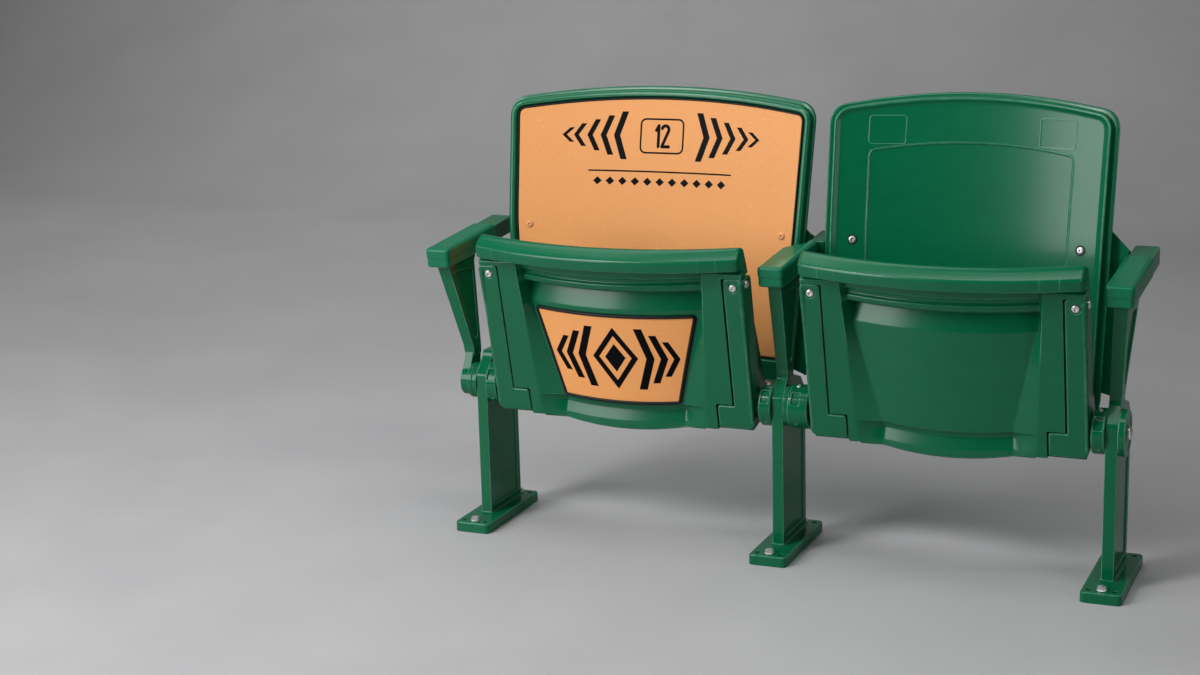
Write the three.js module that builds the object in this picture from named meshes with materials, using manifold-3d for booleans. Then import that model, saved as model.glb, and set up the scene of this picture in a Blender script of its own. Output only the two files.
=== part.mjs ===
// Two-seat tip-up chair for a stadium row: three cast standards with floor feet,
// two spring-return seats, two reclined backs, three armrests.
// Millimetres, +Z up, -Y is the front. The origin is at the centre of the middle foot's underside.

import * as THREE from 'three';
import { mergeVertices } from 'three/addons/utils/BufferGeometryUtils.js';
import Module from 'manifold-3d';

const wasm = await Module();
wasm.setup();

// Row and hinge line
const pitch = 610;
const axisY = -19;
const axisZ = 285;
const clearance = 0.3;
const overrun = 2;

// Standard: foot plate
const footWidth = 73;
const footLength = 236;
const footThick = 20;
const footCorner = 9;
const footEdge = 3;
const boltRowInset = 17;
const sideHoleOffset = 23;
const sideHoleRadius = 5;
const anchorRadius = 5;
const weldWidth = 4;

// Standard: post and shoulder
const postWidth = 22;
const postFrontInset = 68;
const postRearInset = 31;
const postFront = postFrontInset - footLength / 2;
const postRear = footLength / 2 - postRearInset;
const bendZ = 303;
const neckFront = -20;
const neckRear = 14;
const neckZ = 336;
const shoulderRear = 60;
const shoulderZ = 322;
const postRearTop = 292;
const flangeFront = 15;
const flangeRear = 14;
const webRecess = 2.5;
const webRadius = 8;
const castChamfer = 1.5;

// Arm support above the neck
const armTopFront = -60;
const armTopRear = 48;
const armTopZ = 512;
const armTopWidth = 26;
const armFlange = 13;
const armHead = 26;
const heelRadius = 18;
const armWebRecess = 4;
const rightLean = 12;
const leftLean = -28;

// Left end: outboard arm bracket, spacer and bolt
const bracketOffset = -39.5;
const bracketDiscRadius = 30;
const bracketDiscWidth = 17;
const spacerRadius = 35;
const spacerGroove = 2;

// Left end: upright that carries the back
const uprightFront = 145;
const uprightDeep = 40;
const uprightCapZ = 590;
const uprightGap = 9;
const uprightHeel = 34;
const uprightHeelZ = 244;

// Right end: outboard disc
const endDiscRadius = 42;
const endDiscWidth = 13;
const endDiscEdge = 4;

// Armrest, in its own frame: run from the front edge, heights down from the top face
const armrestFront = -88;
const armrestTopZ = 558;
const armrestRise = 15;
const armrestLength = 212;
const tongueEnd = 295;
const armrestWidth = 51;
const armrestCorner = 9;
const armrestRearCorner = 6;
const capHeight = 19;
const capEdge = 4;
const capShoulderShare = 0.3;
const armrestDrop = 34;
const baseInset = 2.5;
const baseSkin = 3;
const beamWidth = 34;
const beamBelow = 2;
const beamSetback = 10;
const tongueWidth = 45;
const tongueDrop = 3;
const tongueChamfer = 2;
const slimRun = 62;
const slimEndGap = 24;
const slimStart = armrestLength - slimRun;
const slimEnd = armrestLength - slimEndGap;
const slimLeft = 6;
const tongueShiftRight = 36;

// Hinge hub, one on each side of a seat
const hubRadius = 41;
const hubFace = 35;
const longHubFace = 60;
const hubWall = 5;
const hubCavityRadius = 31;
const hubEdge = 3;
const stopDepth = 3;
const stopRim = 4;
const stopLow = 11;
const stopHigh = 31;
const pinRadius = 9;
const pinEndGap = 2;

// Return spring inside the left hub of each seat
const springRadius = 20;
const springWire = 1.8;
const springPitch = 4.2;
const springTurns = 3;
const springLeg = 9;

// Seat pan, measured up the folded seat from the hinge line, and forward from it
const seatTiltDegrees = 12.4;
const seatTilt = THREE.MathUtils.degToRad(seatTiltDegrees);
const seatEndGaps = [{ left: 3, right: 9 }, { left: 6, right: 3 }];
const stileFace = 42;
const panBottom = -43;
const panBelly = 15;
const lipTop = 323;
const lipNose = 311;
const lipBottom = 288;
const lipFace = 51;
const lipRoot = 277;
const lipBow = 36;
const lipEnd = 8;
const lipEndShare = 0.6;
const lipRearEdge = 6;
const panBow = 30;
const pocketBowHalf = 190;
const panRear = -66;
const panRearTop = 12;
const panDish = 72;
const panHollow = 26;
const panelFace = 14;
const panelTop = 193;
const panelBottom = 3;
const slopeTop = 226;
const slopeFace = 2;
const ridgeLow = 238;
const ridgeFace = 24;
const grooveLow = 250;
const grooveHigh = 260;
const grooveDepth = 6;
const kickLow = -38;
const kickHigh = -12;
const stepRun = 4;
const pocketTopHalf = 184;
const pocketLowHalf = 165;
const panelTopHalf = 168;
const panelLowHalf = 121;
const pocketWall = 9;
const pocketSag = 6;

// Seat side bracket with its pivot boss
const bracketTop = 268;
const bracketBottom = -36;
const bracketWidth = 37;
const bracketToe = 70;
const bracketToeHigh = 10;
const bracketPlate = 8;
const bracketFlange = 5;
const bracketRear = -10;
const bracketCorner = 6;
const bracketHeel = 12;
const bracketReveal = 2.5;
const bossRadius = 27;
const innerBossRadius = 15;
const innerBossLength = 11;
const bossWall = 3;

// Seat panel with its gasket, on the left seat
const insertThick = 3.2;
const insertGap = 1.7;
const insertInset = 6;
const gasketWidth = 4;
const gasketProud = 1.2;
const insertTopGap = 10;
const insertLowGap = 3;
const insertCorner = 5;

// Back shells
const backHalfWidths = [306, 254];
const backShifts = [-5, 0];
const backTopFlares = [8, 3];
const backLowInsets = [20, 6];
const backTopZ = 841;
const backCornerZ = 821;
const backCorner = 30;
const backBottomZ = 300;
const faceLowZ = 342;
const faceEaseZ = 420;
const backBottomCorner = 24;
const backFaceY = 107;
const backBreakZ = 590;
const backRake = 45;
const backRakeRise = 222;
const backLowRake = 25;
const backLowRakeRise = 205;
const backDish = 35;
const backDepth = 30;
const rimWidth = 15;
const longSide = 75;
const rimCrest = 9;
const rimRoll = 3;
const faceRecess = 8;
const plainRecess = 4;
const rearLayerStep = 5;
const rearLayerDepth = 17;
const rearEdge = 3;
const insetSide = 56;
const insetTop = 74;
const insetDepth = 1.5;
const padWidth = 66;
const padHeight = 50;
const padDepth = 1.2;
const padCorner = 5;
const padSide = 96;
const padTop = 62;

// Back panel with its gasket, on the left back
const backPanelThick = 3;
const backGasketWidth = 4;
const backGasketProud = 1.5;

// Back wings that bolt the backs to the standards
const wingThick = 4;
const wingLap = 34;
const wingTopZ = 612;
const wingTopDrop = 32;
const wingBottomZ = 312;
const wingBottomRise = 26;
const wingFlange = 50;
const wingFlangeLow = 16;
const wingSweep = 70;
const wingGap = 1.2;
const backScrewInset = 42;
const backScrewZ = 577;

// Fasteners
const screwHead = 7;
const screwHeight = 3.6;
const screwShank = 3;
const screwLength = 14;
const faceScrewInset = 18;
const faceScrewDrop = 17;
const sideScrewRise = 20;
const boltHead = 8;
const boltHeadHeight = 7;
const washerRadius = 9.5;
const washerThick = 2;
const pivotHead = 12;
const pivotHeadHeight = 6;

// Facet counts and shares of curves
const roundSteps = 20;
const smallSteps = 6;
const cornerSteps = 2;
const archSteps = 7;
const boreSteps = 12;
const coilSteps = 8;
const coilSides = 5;
const bossSteps = 16;
const panColumnShares = [0, 0.38, 0.74];
const ringShares = [0.04, 0.4, 0.72];
const rearShares = [0.75, 0.4];
const insertShares = [0.1, 0.4, 0.7, 1];
const insetEaseShare = 1.008;
const quarterShares = [0.25, 0.5, 0.75];
const domeShares = [[1, 0.45], [0.8, 0.85], [0.45, 1]];

const castGreen = { color: 0x195f41, roughness: 0.38, metalness: 0.0 };
const plasticGreen = { color: 0x1b6545, roughness: 0.42, metalness: 0.0 };
const panelTan = { color: 0xe9a05f, roughness: 0.6, metalness: 0.0 };
const gasketBlack = { color: 0x15151a, roughness: 0.7, metalness: 0.0 };
const stainless = { color: 0xb9babb, roughness: 0.28, metalness: 1.0 };
const springSteel = { color: 0x6f7276, roughness: 0.4, metalness: 1.0 };

const chair = new THREE.Group();

// Each seat fills the space between the faces of its two hubs, less its end gaps
const leftHubFaces = [hubFace, longHubFace];
const seatSpans = seatEndGaps.map((gap, i) => {
  const from = (i - 1) * pitch + leftHubFaces[i] + gap.left;
  const to = i * pitch - hubFace - gap.right;
  return { centre: (from + to) / 2, half: (to - from) / 2 };
});
const seatHalfMean = (seatSpans[0].half + seatSpans[1].half) / 2;

// Solids and meshes

function toSolid(geometry) {
  const bare = geometry.clone();
  bare.deleteAttribute('normal');
  bare.deleteAttribute('uv');
  const merged = mergeVertices(bare);
  return new wasm.Manifold(new wasm.Mesh({
    numProp: 3,
    vertProperties: Float32Array.from(merged.attributes.position.array),
    triVerts: Uint32Array.from(merged.index.array),
  }));
}

function toGeometry(solid) {
  const mesh = solid.getMesh();
  const geometry = new THREE.BufferGeometry();
  geometry.setAttribute('position', new THREE.BufferAttribute(mesh.vertProperties, 3));
  geometry.setIndex(new THREE.BufferAttribute(mesh.triVerts, 1));
  geometry.computeVertexNormals();
  return geometry;
}

function place(name, solid, finish, matrix = new THREE.Matrix4()) {
  const mesh = new THREE.Mesh(toGeometry(solid), new THREE.MeshStandardMaterial(finish));
  mesh.name = name;
  mesh.applyMatrix4(matrix);
  chair.add(mesh);
  return mesh;
}

function moved(solid, matrix) {
  const mesh = solid.getMesh();
  const geometry = new THREE.BufferGeometry();
  geometry.setAttribute('position', new THREE.BufferAttribute(mesh.vertProperties.slice(), 3));
  geometry.applyMatrix4(matrix);
  const triVerts = mesh.triVerts.slice();
  if (matrix.determinant() < 0) {
    for (let i = 0; i < triVerts.length; i += 3) {
      [triVerts[i], triVerts[i + 1]] = [triVerts[i + 1], triVerts[i]];
    }
  }
  return new wasm.Manifold(new wasm.Mesh({
    numProp: 3, vertProperties: geometry.attributes.position.array, triVerts,
  }));
}

const xAxis = new THREE.Vector3(1, 0, 0);
const yAxis = new THREE.Vector3(0, 1, 0);
const zAxis = new THREE.Vector3(0, 0, 1);
const alongX = new THREE.Matrix4().makeBasis(yAxis, zAxis, xAxis);
const mirrorX = new THREE.Matrix4().makeScale(-1, 1, 1);
const shift = (x, y, z) => new THREE.Matrix4().makeTranslation(x, y, z);

// Corners of an outline rounded by arcs; each corner is [a, b, radius, steps]
function rounded(corners, steps = cornerSteps) {
  const points = [];
  corners.forEach(([a, b, radius = 0, count = steps], i) => {
    const here = new THREE.Vector2(a, b);
    if (!radius) {
      points.push(here);
      return;
    }
    const [pa, pb] = corners[(i + corners.length - 1) % corners.length];
    const [na, nb] = corners[(i + 1) % corners.length];
    const back = new THREE.Vector2(pa, pb).sub(here).normalize();
    const on = new THREE.Vector2(na, nb).sub(here).normalize();
    const half = Math.acos(THREE.MathUtils.clamp(back.dot(on), -1, 1)) / 2;
    const reach = radius / Math.tan(half);
    const centre = back.clone().add(on).normalize().multiplyScalar(radius / Math.sin(half)).add(here);
    const start = back.clone().multiplyScalar(reach).add(here).sub(centre).angle();
    const end = on.clone().multiplyScalar(reach).add(here).sub(centre).angle();
    let sweep = end - start;
    if (sweep > Math.PI) sweep -= 2 * Math.PI;
    if (sweep < -Math.PI) sweep += 2 * Math.PI;
    for (let k = 0; k <= count; k += 1) {
      const angle = start + (sweep * k) / count;
      points.push(new THREE.Vector2(Math.cos(angle), Math.sin(angle)).multiplyScalar(radius).add(centre));
    }
  });
  return points;
}

// Outline drawn in by a distance along the mean normal of each corner
function inset(points, distance) {
  return points.map((point, i) => {
    const before = points[(i + points.length - 1) % points.length];
    const after = points[(i + 1) % points.length];
    const a = point.clone().sub(before).normalize();
    const b = after.clone().sub(point).normalize();
    const normal = new THREE.Vector2(-a.y - b.y, a.x + b.x).normalize();
    const spread = Math.max(normal.dot(new THREE.Vector2(-a.y, a.x)), 0.5);
    return point.clone().add(normal.multiplyScalar(distance / spread));
  });
}

// Solid from points and triangles; triangles are turned over where the surface faces inwards
function solidFrom(points, index) {
  const position = new Float32Array(points.length * 3);
  points.forEach((point, i) => point.toArray(position, i * 3));
  let volume = 0;
  const normal = new THREE.Vector3();
  for (let i = 0; i < index.length; i += 3) {
    normal.crossVectors(points[index[i + 1]], points[index[i + 2]]);
    volume += points[index[i]].dot(normal);
  }
  const geometry = new THREE.BufferGeometry();
  geometry.setAttribute('position', new THREE.BufferAttribute(position, 3));
  geometry.setIndex(volume < 0 ? index.reverse() : index);
  return toSolid(geometry);
}

// Closed solid through a stack of rings with one point count, capped at both ends
function loft(rings) {
  const count = rings[0].length;
  const index = [];
  for (let r = 0; r + 1 < rings.length; r += 1) {
    for (let i = 0; i < count; i += 1) {
      const j = (i + 1) % count;
      const a = r * count + i;
      const b = r * count + j;
      index.push(a, b, b + count, a, b + count, a + count);
    }
  }
  const capOf = (ring) => THREE.ShapeUtils.triangulateShape(ring, []);
  const flatten = (ring) => {
    const centre = ring.reduce((sum, p) => sum.add(p), new THREE.Vector3()).divideScalar(count);
    const normal = new THREE.Vector3();
    ring.forEach((p, i) => {
      normal.add(p.clone().sub(centre).cross(ring[(i + 1) % count].clone().sub(centre)));
    });
    normal.normalize();
    const u = ring[0].clone().sub(centre).normalize();
    const v = normal.clone().cross(u);
    return ring.map((p) => new THREE.Vector2(p.clone().sub(centre).dot(u), p.clone().sub(centre).dot(v)));
  };
  const top = (rings.length - 1) * count;
  capOf(flatten(rings[0])).forEach(([a, b, c]) => index.push(a, c, b));
  capOf(flatten(rings[rings.length - 1])).forEach(([a, b, c]) => index.push(top + a, top + b, top + c));
  return solidFrom(rings.flat(), index);
}

// Prisms: outline in (y, z) run along x, outline in (x, y) run up z, outline in (x, z) run along y
function prismX(points, from, to, chamfer = 0) {
  const ring = (x, list) => list.map((p) => new THREE.Vector3(x, p.x, p.y));
  if (!chamfer) return loft([ring(from, points), ring(to, points)]);
  const drawn = inset(points, chamfer);
  return loft([ring(from, drawn), ring(from + chamfer, points), ring(to - chamfer, points), ring(to, drawn)]);
}

function prismZ(points, from, to, low = 0, high = 0) {
  const ring = (z, list) => list.map((p) => new THREE.Vector3(p.x, p.y, z));
  const rings = [];
  if (low) rings.push(ring(from, inset(points, low)));
  rings.push(ring(from + low, points), ring(to - high, points));
  if (high) rings.push(ring(to, inset(points, high)));
  return loft(rings);
}

function box(x0, x1, y0, y1, z0, z1) {
  const geometry = new THREE.BoxGeometry(x1 - x0, y1 - y0, z1 - z0);
  geometry.translate((x0 + x1) / 2, (y0 + y1) / 2, (z0 + z1) / 2);
  return toSolid(geometry);
}

function barX(radius, x0, x1, y, z, steps = roundSteps, edge = 0) {
  const profile = [[0, 0], [radius - edge, 0], [radius, edge], [radius, x1 - x0 - edge],
    [radius - edge, x1 - x0], [0, x1 - x0]];
  const points = (edge ? profile : [profile[0], [radius, 0], [radius, x1 - x0], profile[5]])
    .map(([r, h]) => new THREE.Vector2(r, h));
  const geometry = new THREE.LatheGeometry(points, steps);
  geometry.applyMatrix4(new THREE.Matrix4().makeRotationZ(-Math.PI / 2));
  geometry.translate(x0, y, z);
  return toSolid(geometry);
}

// Turned fastener: its head sits on z = 0 and its shank runs down
function fastener(head, height, shank, length, washer = 0, washerHeight = 0, steps = smallSteps) {
  const seat = washer ? washerHeight : 0;
  const profile = [[0, -length], [shank, -length], [shank, 0]];
  if (washer) profile.push([washer, 0], [washer, washerHeight]);
  profile.push([head, seat]);
  for (const [out, up] of domeShares) profile.push([head * out, seat + height * up]);
  profile.push([0, seat + height]);
  const geometry = new THREE.LatheGeometry(profile.map(([r, h]) => new THREE.Vector2(r, h)), steps);
  geometry.applyMatrix4(new THREE.Matrix4().makeRotationX(Math.PI / 2));
  return toSolid(geometry);
}

// Standards

const footOutline = rounded([
  [-footWidth / 2, -footLength / 2, footCorner], [footWidth / 2, -footLength / 2, footCorner],
  [footWidth / 2, footLength / 2, footCorner], [-footWidth / 2, footLength / 2, footCorner],
]);
const boltRow = footLength / 2 - boltRowInset;

function upHole(radius, x, y, from, to) {
  const geometry = new THREE.CylinderGeometry(radius, radius, to - from, smallSteps);
  geometry.applyMatrix4(new THREE.Matrix4().makeRotationX(Math.PI / 2));
  geometry.translate(x, y, (from + to) / 2);
  return toSolid(geometry);
}

function footPlate() {
  let foot = prismZ(footOutline, 0, footThick, 0, footEdge);
  for (const row of [-boltRow, boltRow]) {
    foot = foot.subtract(upHole(anchorRadius + clearance, 0, row, -overrun, footThick + overrun));
    for (const side of [-sideHoleOffset, sideHoleOffset]) {
      foot = foot.subtract(upHole(sideHoleRadius, side, row, -overrun, footThick + overrun));
    }
  }
  return foot;
}

const half = postWidth / 2;
const postOutline = rounded([
  [postFront, footThick - overrun], [postRear, footThick - overrun], [postRear, postRearTop, heelRadius],
  [shoulderRear, shoulderZ], [neckRear, neckZ, webRadius], [neckRear, neckZ + webRadius],
  [neckFront, neckZ + webRadius], [neckFront, neckZ, webRadius], [postFront, bendZ, webRadius],
]);

// Fillet strip round the foot of the post
function weldStrip() {
  const ring = (grow, z) => [
    [-half - grow, postFront - grow], [half + grow, postFront - grow],
    [half + grow, postRear + grow], [-half - grow, postRear + grow],
  ].map(([x, y]) => new THREE.Vector3(x, y, z));
  return loft([ring(weldWidth, footThick - overrun), ring(weldWidth, footThick),
    ring(0, footThick + weldWidth), ring(0, footThick + weldWidth + overrun)]);
}

function lowerCasting() {
  let post = prismX(postOutline, -half, half, castChamfer).add(weldStrip()).add(footPlate());
  const web = rounded([
    [postFront + flangeFront, footThick + flangeRear, webRadius],
    [postRear - flangeRear, footThick + flangeRear, webRadius],
    [postRear - flangeRear, axisZ - hubRadius, webRadius],
    [postFront + flangeFront, axisZ - hubRadius, webRadius],
  ]);
  for (const side of [-1, 1]) {
    const cut = prismX(web, half - webRecess, half + overrun);
    post = post.subtract(side > 0 ? cut : moved(cut, mirrorX));
  }
  return post.subtract(barX(pinRadius + clearance, -half - overrun, half + overrun, axisY, axisZ, boreSteps));
}

// Height of the armrest's top face at a run from its front edge
const riseShare = armrestRise / armrestLength;
const armSlope = Math.atan(riseShare);
const armFrame = (x) => shift(x, armrestFront, armrestTopZ)
  .multiply(new THREE.Matrix4().makeRotationX(armSlope));

// Web and flanges that carry the armrest, sheared sideways by the lean
function armSupport(lean) {
  const outline = rounded([
    [neckFront, neckZ - overrun], [neckRear, neckZ - overrun],
    [armTopRear, armTopZ, hubCavityRadius], [armTopRear + armFlange, armTopZ + armHead],
    [armTopFront, armTopZ + armFlange], [armTopFront, armTopZ],
  ]);
  const wide = prismX(outline, -armTopWidth / 2, armTopWidth / 2, castChamfer);
  const web = rounded([
    [neckFront + armFlange, neckZ + armHead], [neckRear - armFlange / 2, neckZ + armHead],
    [armTopRear - armFlange, armTopZ - armFlange, webRadius],
    [armTopFront + armFlange, armTopZ - armFlange / 2, webRadius],
  ]);
  const cut = prismX(web, armTopWidth / 2 - armWebRecess, armTopWidth / 2 + overrun);
  const carved = wide.subtract(cut).subtract(moved(cut, mirrorX));
  const rise = armTopZ - neckZ;
  const taper = (z) => {
    const share = THREE.MathUtils.clamp((z - neckZ) / rise, 0, 1);
    return { scale: (postWidth + (armTopWidth - postWidth) * share) / armTopWidth, offset: lean * share };
  };
  const mesh = carved.getMesh();
  const vertProperties = mesh.vertProperties.slice();
  for (let i = 0; i < vertProperties.length; i += 3) {
    const { scale, offset } = taper(vertProperties[i + 2]);
    vertProperties[i] = vertProperties[i] * scale + offset;
  }
  return new wasm.Manifold(new wasm.Mesh({ numProp: 3, vertProperties, triVerts: mesh.triVerts.slice() }));
}

// Beam inside the armrest and the tongue behind it, in the armrest's frame
function armBeam(slim) {
  const hw = beamWidth / 2;
  const tongue = tongueWidth / 2;
  const front = box(-hw, hw, beamSetback, slim ? slimStart : armrestLength - clearance,
    -armrestDrop - beamBelow, -capHeight - baseSkin - clearance);
  const left = slim ? slimLeft + clearance : -tongue;
  const right = slim ? tongueShiftRight : tongue;
  const neckLeft = slim ? slimLeft + baseInset + clearance : -hw;
  const join = box(neckLeft, hw, slimStart - overrun, armrestLength + overrun,
    -armrestDrop - beamBelow, -capHeight - baseSkin - clearance);
  const plan = rounded([
    [left, armrestLength + clearance], [right, armrestLength + clearance],
    [right, tongueEnd, tongueDrop], [left, tongueEnd, tongueDrop],
  ]);
  return front.add(join).add(prismZ(plan, -armrestDrop - beamBelow, -tongueDrop, 0, tongueChamfer));
}

function withArm(casting, lean, slim) {
  return casting.add(armSupport(lean)).add(moved(armBeam(slim), armFrame(lean)));
}

// Depth of the back's front face line at a height, before the dish
function backLine(z) {
  const above = z > backBreakZ;
  const share = (z - backBreakZ) / (above ? backRakeRise : backLowRakeRise);
  return backFaceY + (above ? backRake : backLowRake) * share;
}

// Upright that runs back under the left seat's back and up behind it, where the wing bolts to it
function leftUpright() {
  const behind = (z) => backLine(z) + backDepth + uprightGap;
  const underZ = backBottomZ - uprightGap;
  const outline = rounded([
    [shoulderRear - uprightHeel, underZ], [shoulderRear, uprightHeelZ], [postRear + uprightHeel, uprightHeelZ, webRadius],
    [behind(backBottomZ) + uprightDeep, backBottomZ, webRadius],
    [uprightFront + uprightDeep, uprightCapZ, webRadius], [behind(uprightCapZ), uprightCapZ, webRadius],
    [behind(backBottomZ), backBottomZ + uprightGap, webRadius], [behind(backBottomZ) - uprightHeel, underZ, webRadius],
  ]);
  return prismX(outline, -half, half, castChamfer);
}

const standards = [
  ['left', -pitch, lowerCasting().add(leftUpright())],
  ['middle', 0, withArm(lowerCasting(), 0, true)],
  ['right', pitch, withArm(lowerCasting(), rightLean, false)],
];
for (const [name, x, solid] of standards) {
  place(`standard_${name}`, solid, castGreen, shift(x, 0, 0));
  for (const [end, row] of [['front', -boltRow], ['rear', boltRow]]) {
    const bolt = fastener(boltHead, boltHeadHeight, anchorRadius, footThick, washerRadius, washerThick);
    place(`foot_bolt_${name}_${end}`, bolt, stainless, shift(x, row, footThick + clearance));
  }
}

// Left arm bracket, its spacer and bolt

const leftFace = -half;
const discInner = bracketOffset + bracketDiscWidth / 2;
const discOuter = bracketOffset - bracketDiscWidth / 2;

function leftArmBracket() {
  const disc = barX(bracketDiscRadius, discOuter, discInner, axisY, axisZ, roundSteps, castChamfer);
  const stem = rounded([
    [axisY - bracketDiscRadius + castChamfer, axisZ], [axisY + bracketDiscRadius - castChamfer, axisZ],
    [neckRear, neckZ], [neckFront, neckZ],
  ]);
  const foot = prismX(stem, discOuter, discInner, castChamfer);
  const support = moved(armSupport(leftLean), shift(bracketOffset, 0, 0));
  const beam = moved(armBeam(false), armFrame(bracketOffset + leftLean));
  return disc.add(foot).add(support).add(beam)
    .subtract(barX(pinRadius + clearance, discOuter - overrun, discInner + overrun, axisY, axisZ, boreSteps));
}

place('arm_bracket_left', leftArmBracket(), castGreen, shift(-pitch, 0, 0));

const spacerX0 = discInner + clearance;
const spacerX1 = leftFace - clearance;
const spacerLength = spacerX1 - spacerX0;
const spacerProfile = [
  [pinRadius + clearance, 0], [spacerRadius - castChamfer, 0], [spacerRadius, castChamfer],
  [spacerRadius, (spacerLength - spacerGroove) / 2], [spacerRadius - spacerGroove, (spacerLength - spacerGroove) / 2],
  [spacerRadius - spacerGroove, (spacerLength + spacerGroove) / 2], [spacerRadius, (spacerLength + spacerGroove) / 2],
  [spacerRadius, spacerLength - castChamfer], [spacerRadius - castChamfer, spacerLength],
  [pinRadius + clearance, spacerLength], [pinRadius + clearance, 0],
].map(([r, h]) => new THREE.Vector2(r, h));
const spacerShape = new THREE.LatheGeometry(spacerProfile, roundSteps);
spacerShape.applyMatrix4(new THREE.Matrix4().makeRotationZ(-Math.PI / 2));
spacerShape.translate(spacerX0, axisY, axisZ);
const spacer = toSolid(spacerShape);
place('pivot_spacer_left', spacer, castGreen, shift(-pitch, 0, 0));

// Bolt along the hinge line: head outside, shank into the standard
function pivotBolt(face, side) {
  const bolt = fastener(pivotHead, pivotHeadHeight, pinRadius, Math.abs(face) - pinEndGap, 0, 0, boreSteps);
  const outward = moved(bolt, shift(face, axisY, axisZ).multiply(alongX));
  return side > 0 ? outward : moved(outward, mirrorX);
}

place('pivot_bolt_left', pivotBolt(-discOuter + clearance, -1), stainless, shift(-pitch, 0, 0));

const endDisc = barX(endDiscRadius, half + clearance, half + endDiscWidth, axisY, axisZ, roundSteps, endDiscEdge)
  .subtract(barX(pinRadius + clearance, half - overrun, half + endDiscWidth + overrun, axisY, axisZ, boreSteps));
place('pivot_cap_right', endDisc, castGreen, shift(pitch, 0, 0));
place('pivot_bolt_right', pivotBolt(half + endDiscWidth + clearance, 1), stainless, shift(pitch, 0, 0));

// Armrests

function armrestPlan(widthInset, slim, length) {
  const hw = armrestWidth / 2 - widthInset;
  const corners = [
    [hw, widthInset, armrestCorner - widthInset], [hw, length, armrestRearCorner],
  ];
  if (slim) {
    const left = slimLeft + widthInset;
    corners.push([left, length, armrestRearCorner], [left, slimEnd, armrestCorner * 2],
      [-hw, slimStart, armrestCorner * 2]);
  } else {
    corners.push([-hw, length, armrestRearCorner]);
  }
  corners.push([-hw, widthInset, armrestCorner - widthInset]);
  return rounded(corners);
}

function armrestCap(slim) {
  const outline = armrestPlan(0, slim, armrestLength);
  const ring = (z, pull) => inset(outline, pull).map((p) => new THREE.Vector3(p.x, p.y, z));
  const shoulder = capEdge * capShoulderShare;
  return loft([ring(-capHeight, 0), ring(-capEdge, 0), ring(-shoulder, shoulder), ring(0, capEdge)]);
}

function armrestBase(slim) {
  const outline = armrestPlan(baseInset, slim, armrestLength);
  const block = prismZ(outline, -armrestDrop, -capHeight - clearance, capEdge, 0);
  const hw = beamWidth / 2 + clearance;
  const under = -armrestDrop - overrun;
  const roof = -capHeight - baseSkin;
  let base = block;
  if (slim) {
    base = base.subtract(box(-hw, hw, beamSetback - clearance, slimStart + clearance, under, roof));
    base = base.subtract(box(slimLeft + baseInset, hw, slimStart - overrun, armrestLength + overrun, under, roof));
  } else {
    base = base.subtract(box(-hw, hw, beamSetback - clearance, armrestLength + overrun, under, roof));
  }
  return base;
}

const armrests = [
  ['left', -pitch + bracketOffset + leftLean, false],
  ['middle', 0, true],
  ['right', pitch + rightLean, false],
];
for (const [name, x, slim] of armrests) {
  place(`armrest_${name}_cap`, armrestCap(slim), plasticGreen, armFrame(x));
  place(`armrest_${name}_base`, armrestBase(slim), plasticGreen, armFrame(x));
}

// Hinge hubs, pins and return springs; side is the side of the standard that the hub is on

function hub(side, face) {
  const inner = half + clearance;
  let collar = barX(hubRadius, inner, face, axisY, axisZ, roundSteps, hubEdge);
  collar = collar.subtract(barX(hubCavityRadius, inner + hubWall, face + overrun, axisY, axisZ, bossSteps));
  collar = collar.subtract(barX(pinRadius + clearance, inner - overrun, face, axisY, axisZ, boreSteps));
  const notch = box(inner + stopRim, hubFace - stopRim, axisY - hubRadius - overrun,
    axisY - hubRadius + stopDepth * 2, axisZ + stopLow, axisZ + stopHigh);
  const ease = new THREE.Matrix4().makeRotationX(-stopLow / hubRadius);
  const about = shift(0, axisY, axisZ).multiply(ease).multiply(shift(0, -axisY, -axisZ));
  collar = collar.subtract(moved(notch, about));
  return side > 0 ? collar : moved(collar, mirrorX);
}

function returnSpring(side) {
  const start = half + clearance + hubWall + clearance + springWire;
  const steps = springTurns * coilSteps;
  const points = [];
  points.push(new THREE.Vector3(start, axisY, axisZ + springRadius + springLeg));
  for (let i = 0; i <= steps; i += 1) {
    const turn = (i / steps) * springTurns;
    const angle = turn * 2 * Math.PI;
    points.push(new THREE.Vector3(start + turn * springPitch,
      axisY + Math.sin(angle) * springRadius, axisZ + Math.cos(angle) * springRadius));
  }
  points.push(new THREE.Vector3(start + springTurns * springPitch, axisY, axisZ + springRadius + springLeg));
  const path = new THREE.CatmullRomCurve3(points, false, 'chordal');
  const section = new THREE.Shape(Array.from({ length: coilSides }, (_, i) => {
    const angle = (i / coilSides) * 2 * Math.PI;
    return new THREE.Vector2(Math.cos(angle) * springWire, Math.sin(angle) * springWire);
  }));
  const wire = new THREE.ExtrudeGeometry(section, {
    extrudePath: path, steps: steps + coilSides, bevelEnabled: false,
  });
  const solid = toSolid(wire);
  return side > 0 ? solid : moved(solid, mirrorX);
}

// Seats

const seatTurn = new THREE.Matrix4().makeBasis(
  xAxis,
  new THREE.Vector3(0, -Math.sin(seatTilt), Math.cos(seatTilt)),
  new THREE.Vector3(0, -Math.cos(seatTilt), -Math.sin(seatTilt)),
);
const seatFrame = (x) => shift(x, axisY, axisZ).multiply(seatTurn);
const mix = THREE.MathUtils.lerp;

// Half widths of the pocket at a height up the pan: at the stile face, and at the floor
function pocketHalf(width, s) {
  const share = THREE.MathUtils.clamp((s - panBottom) / (lipRoot - panBottom), 0, 1);
  return mix(pocketLowHalf, pocketTopHalf, share) * width;
}

function floorHalf(width, s) {
  if (s >= panelTop) return pocketHalf(width, s) - pocketWall;
  const share = THREE.MathUtils.clamp((s - panelBottom) / (panelTop - panelBottom), 0, 1);
  return mix(panelLowHalf, panelTopHalf, share) * width;
}

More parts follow.
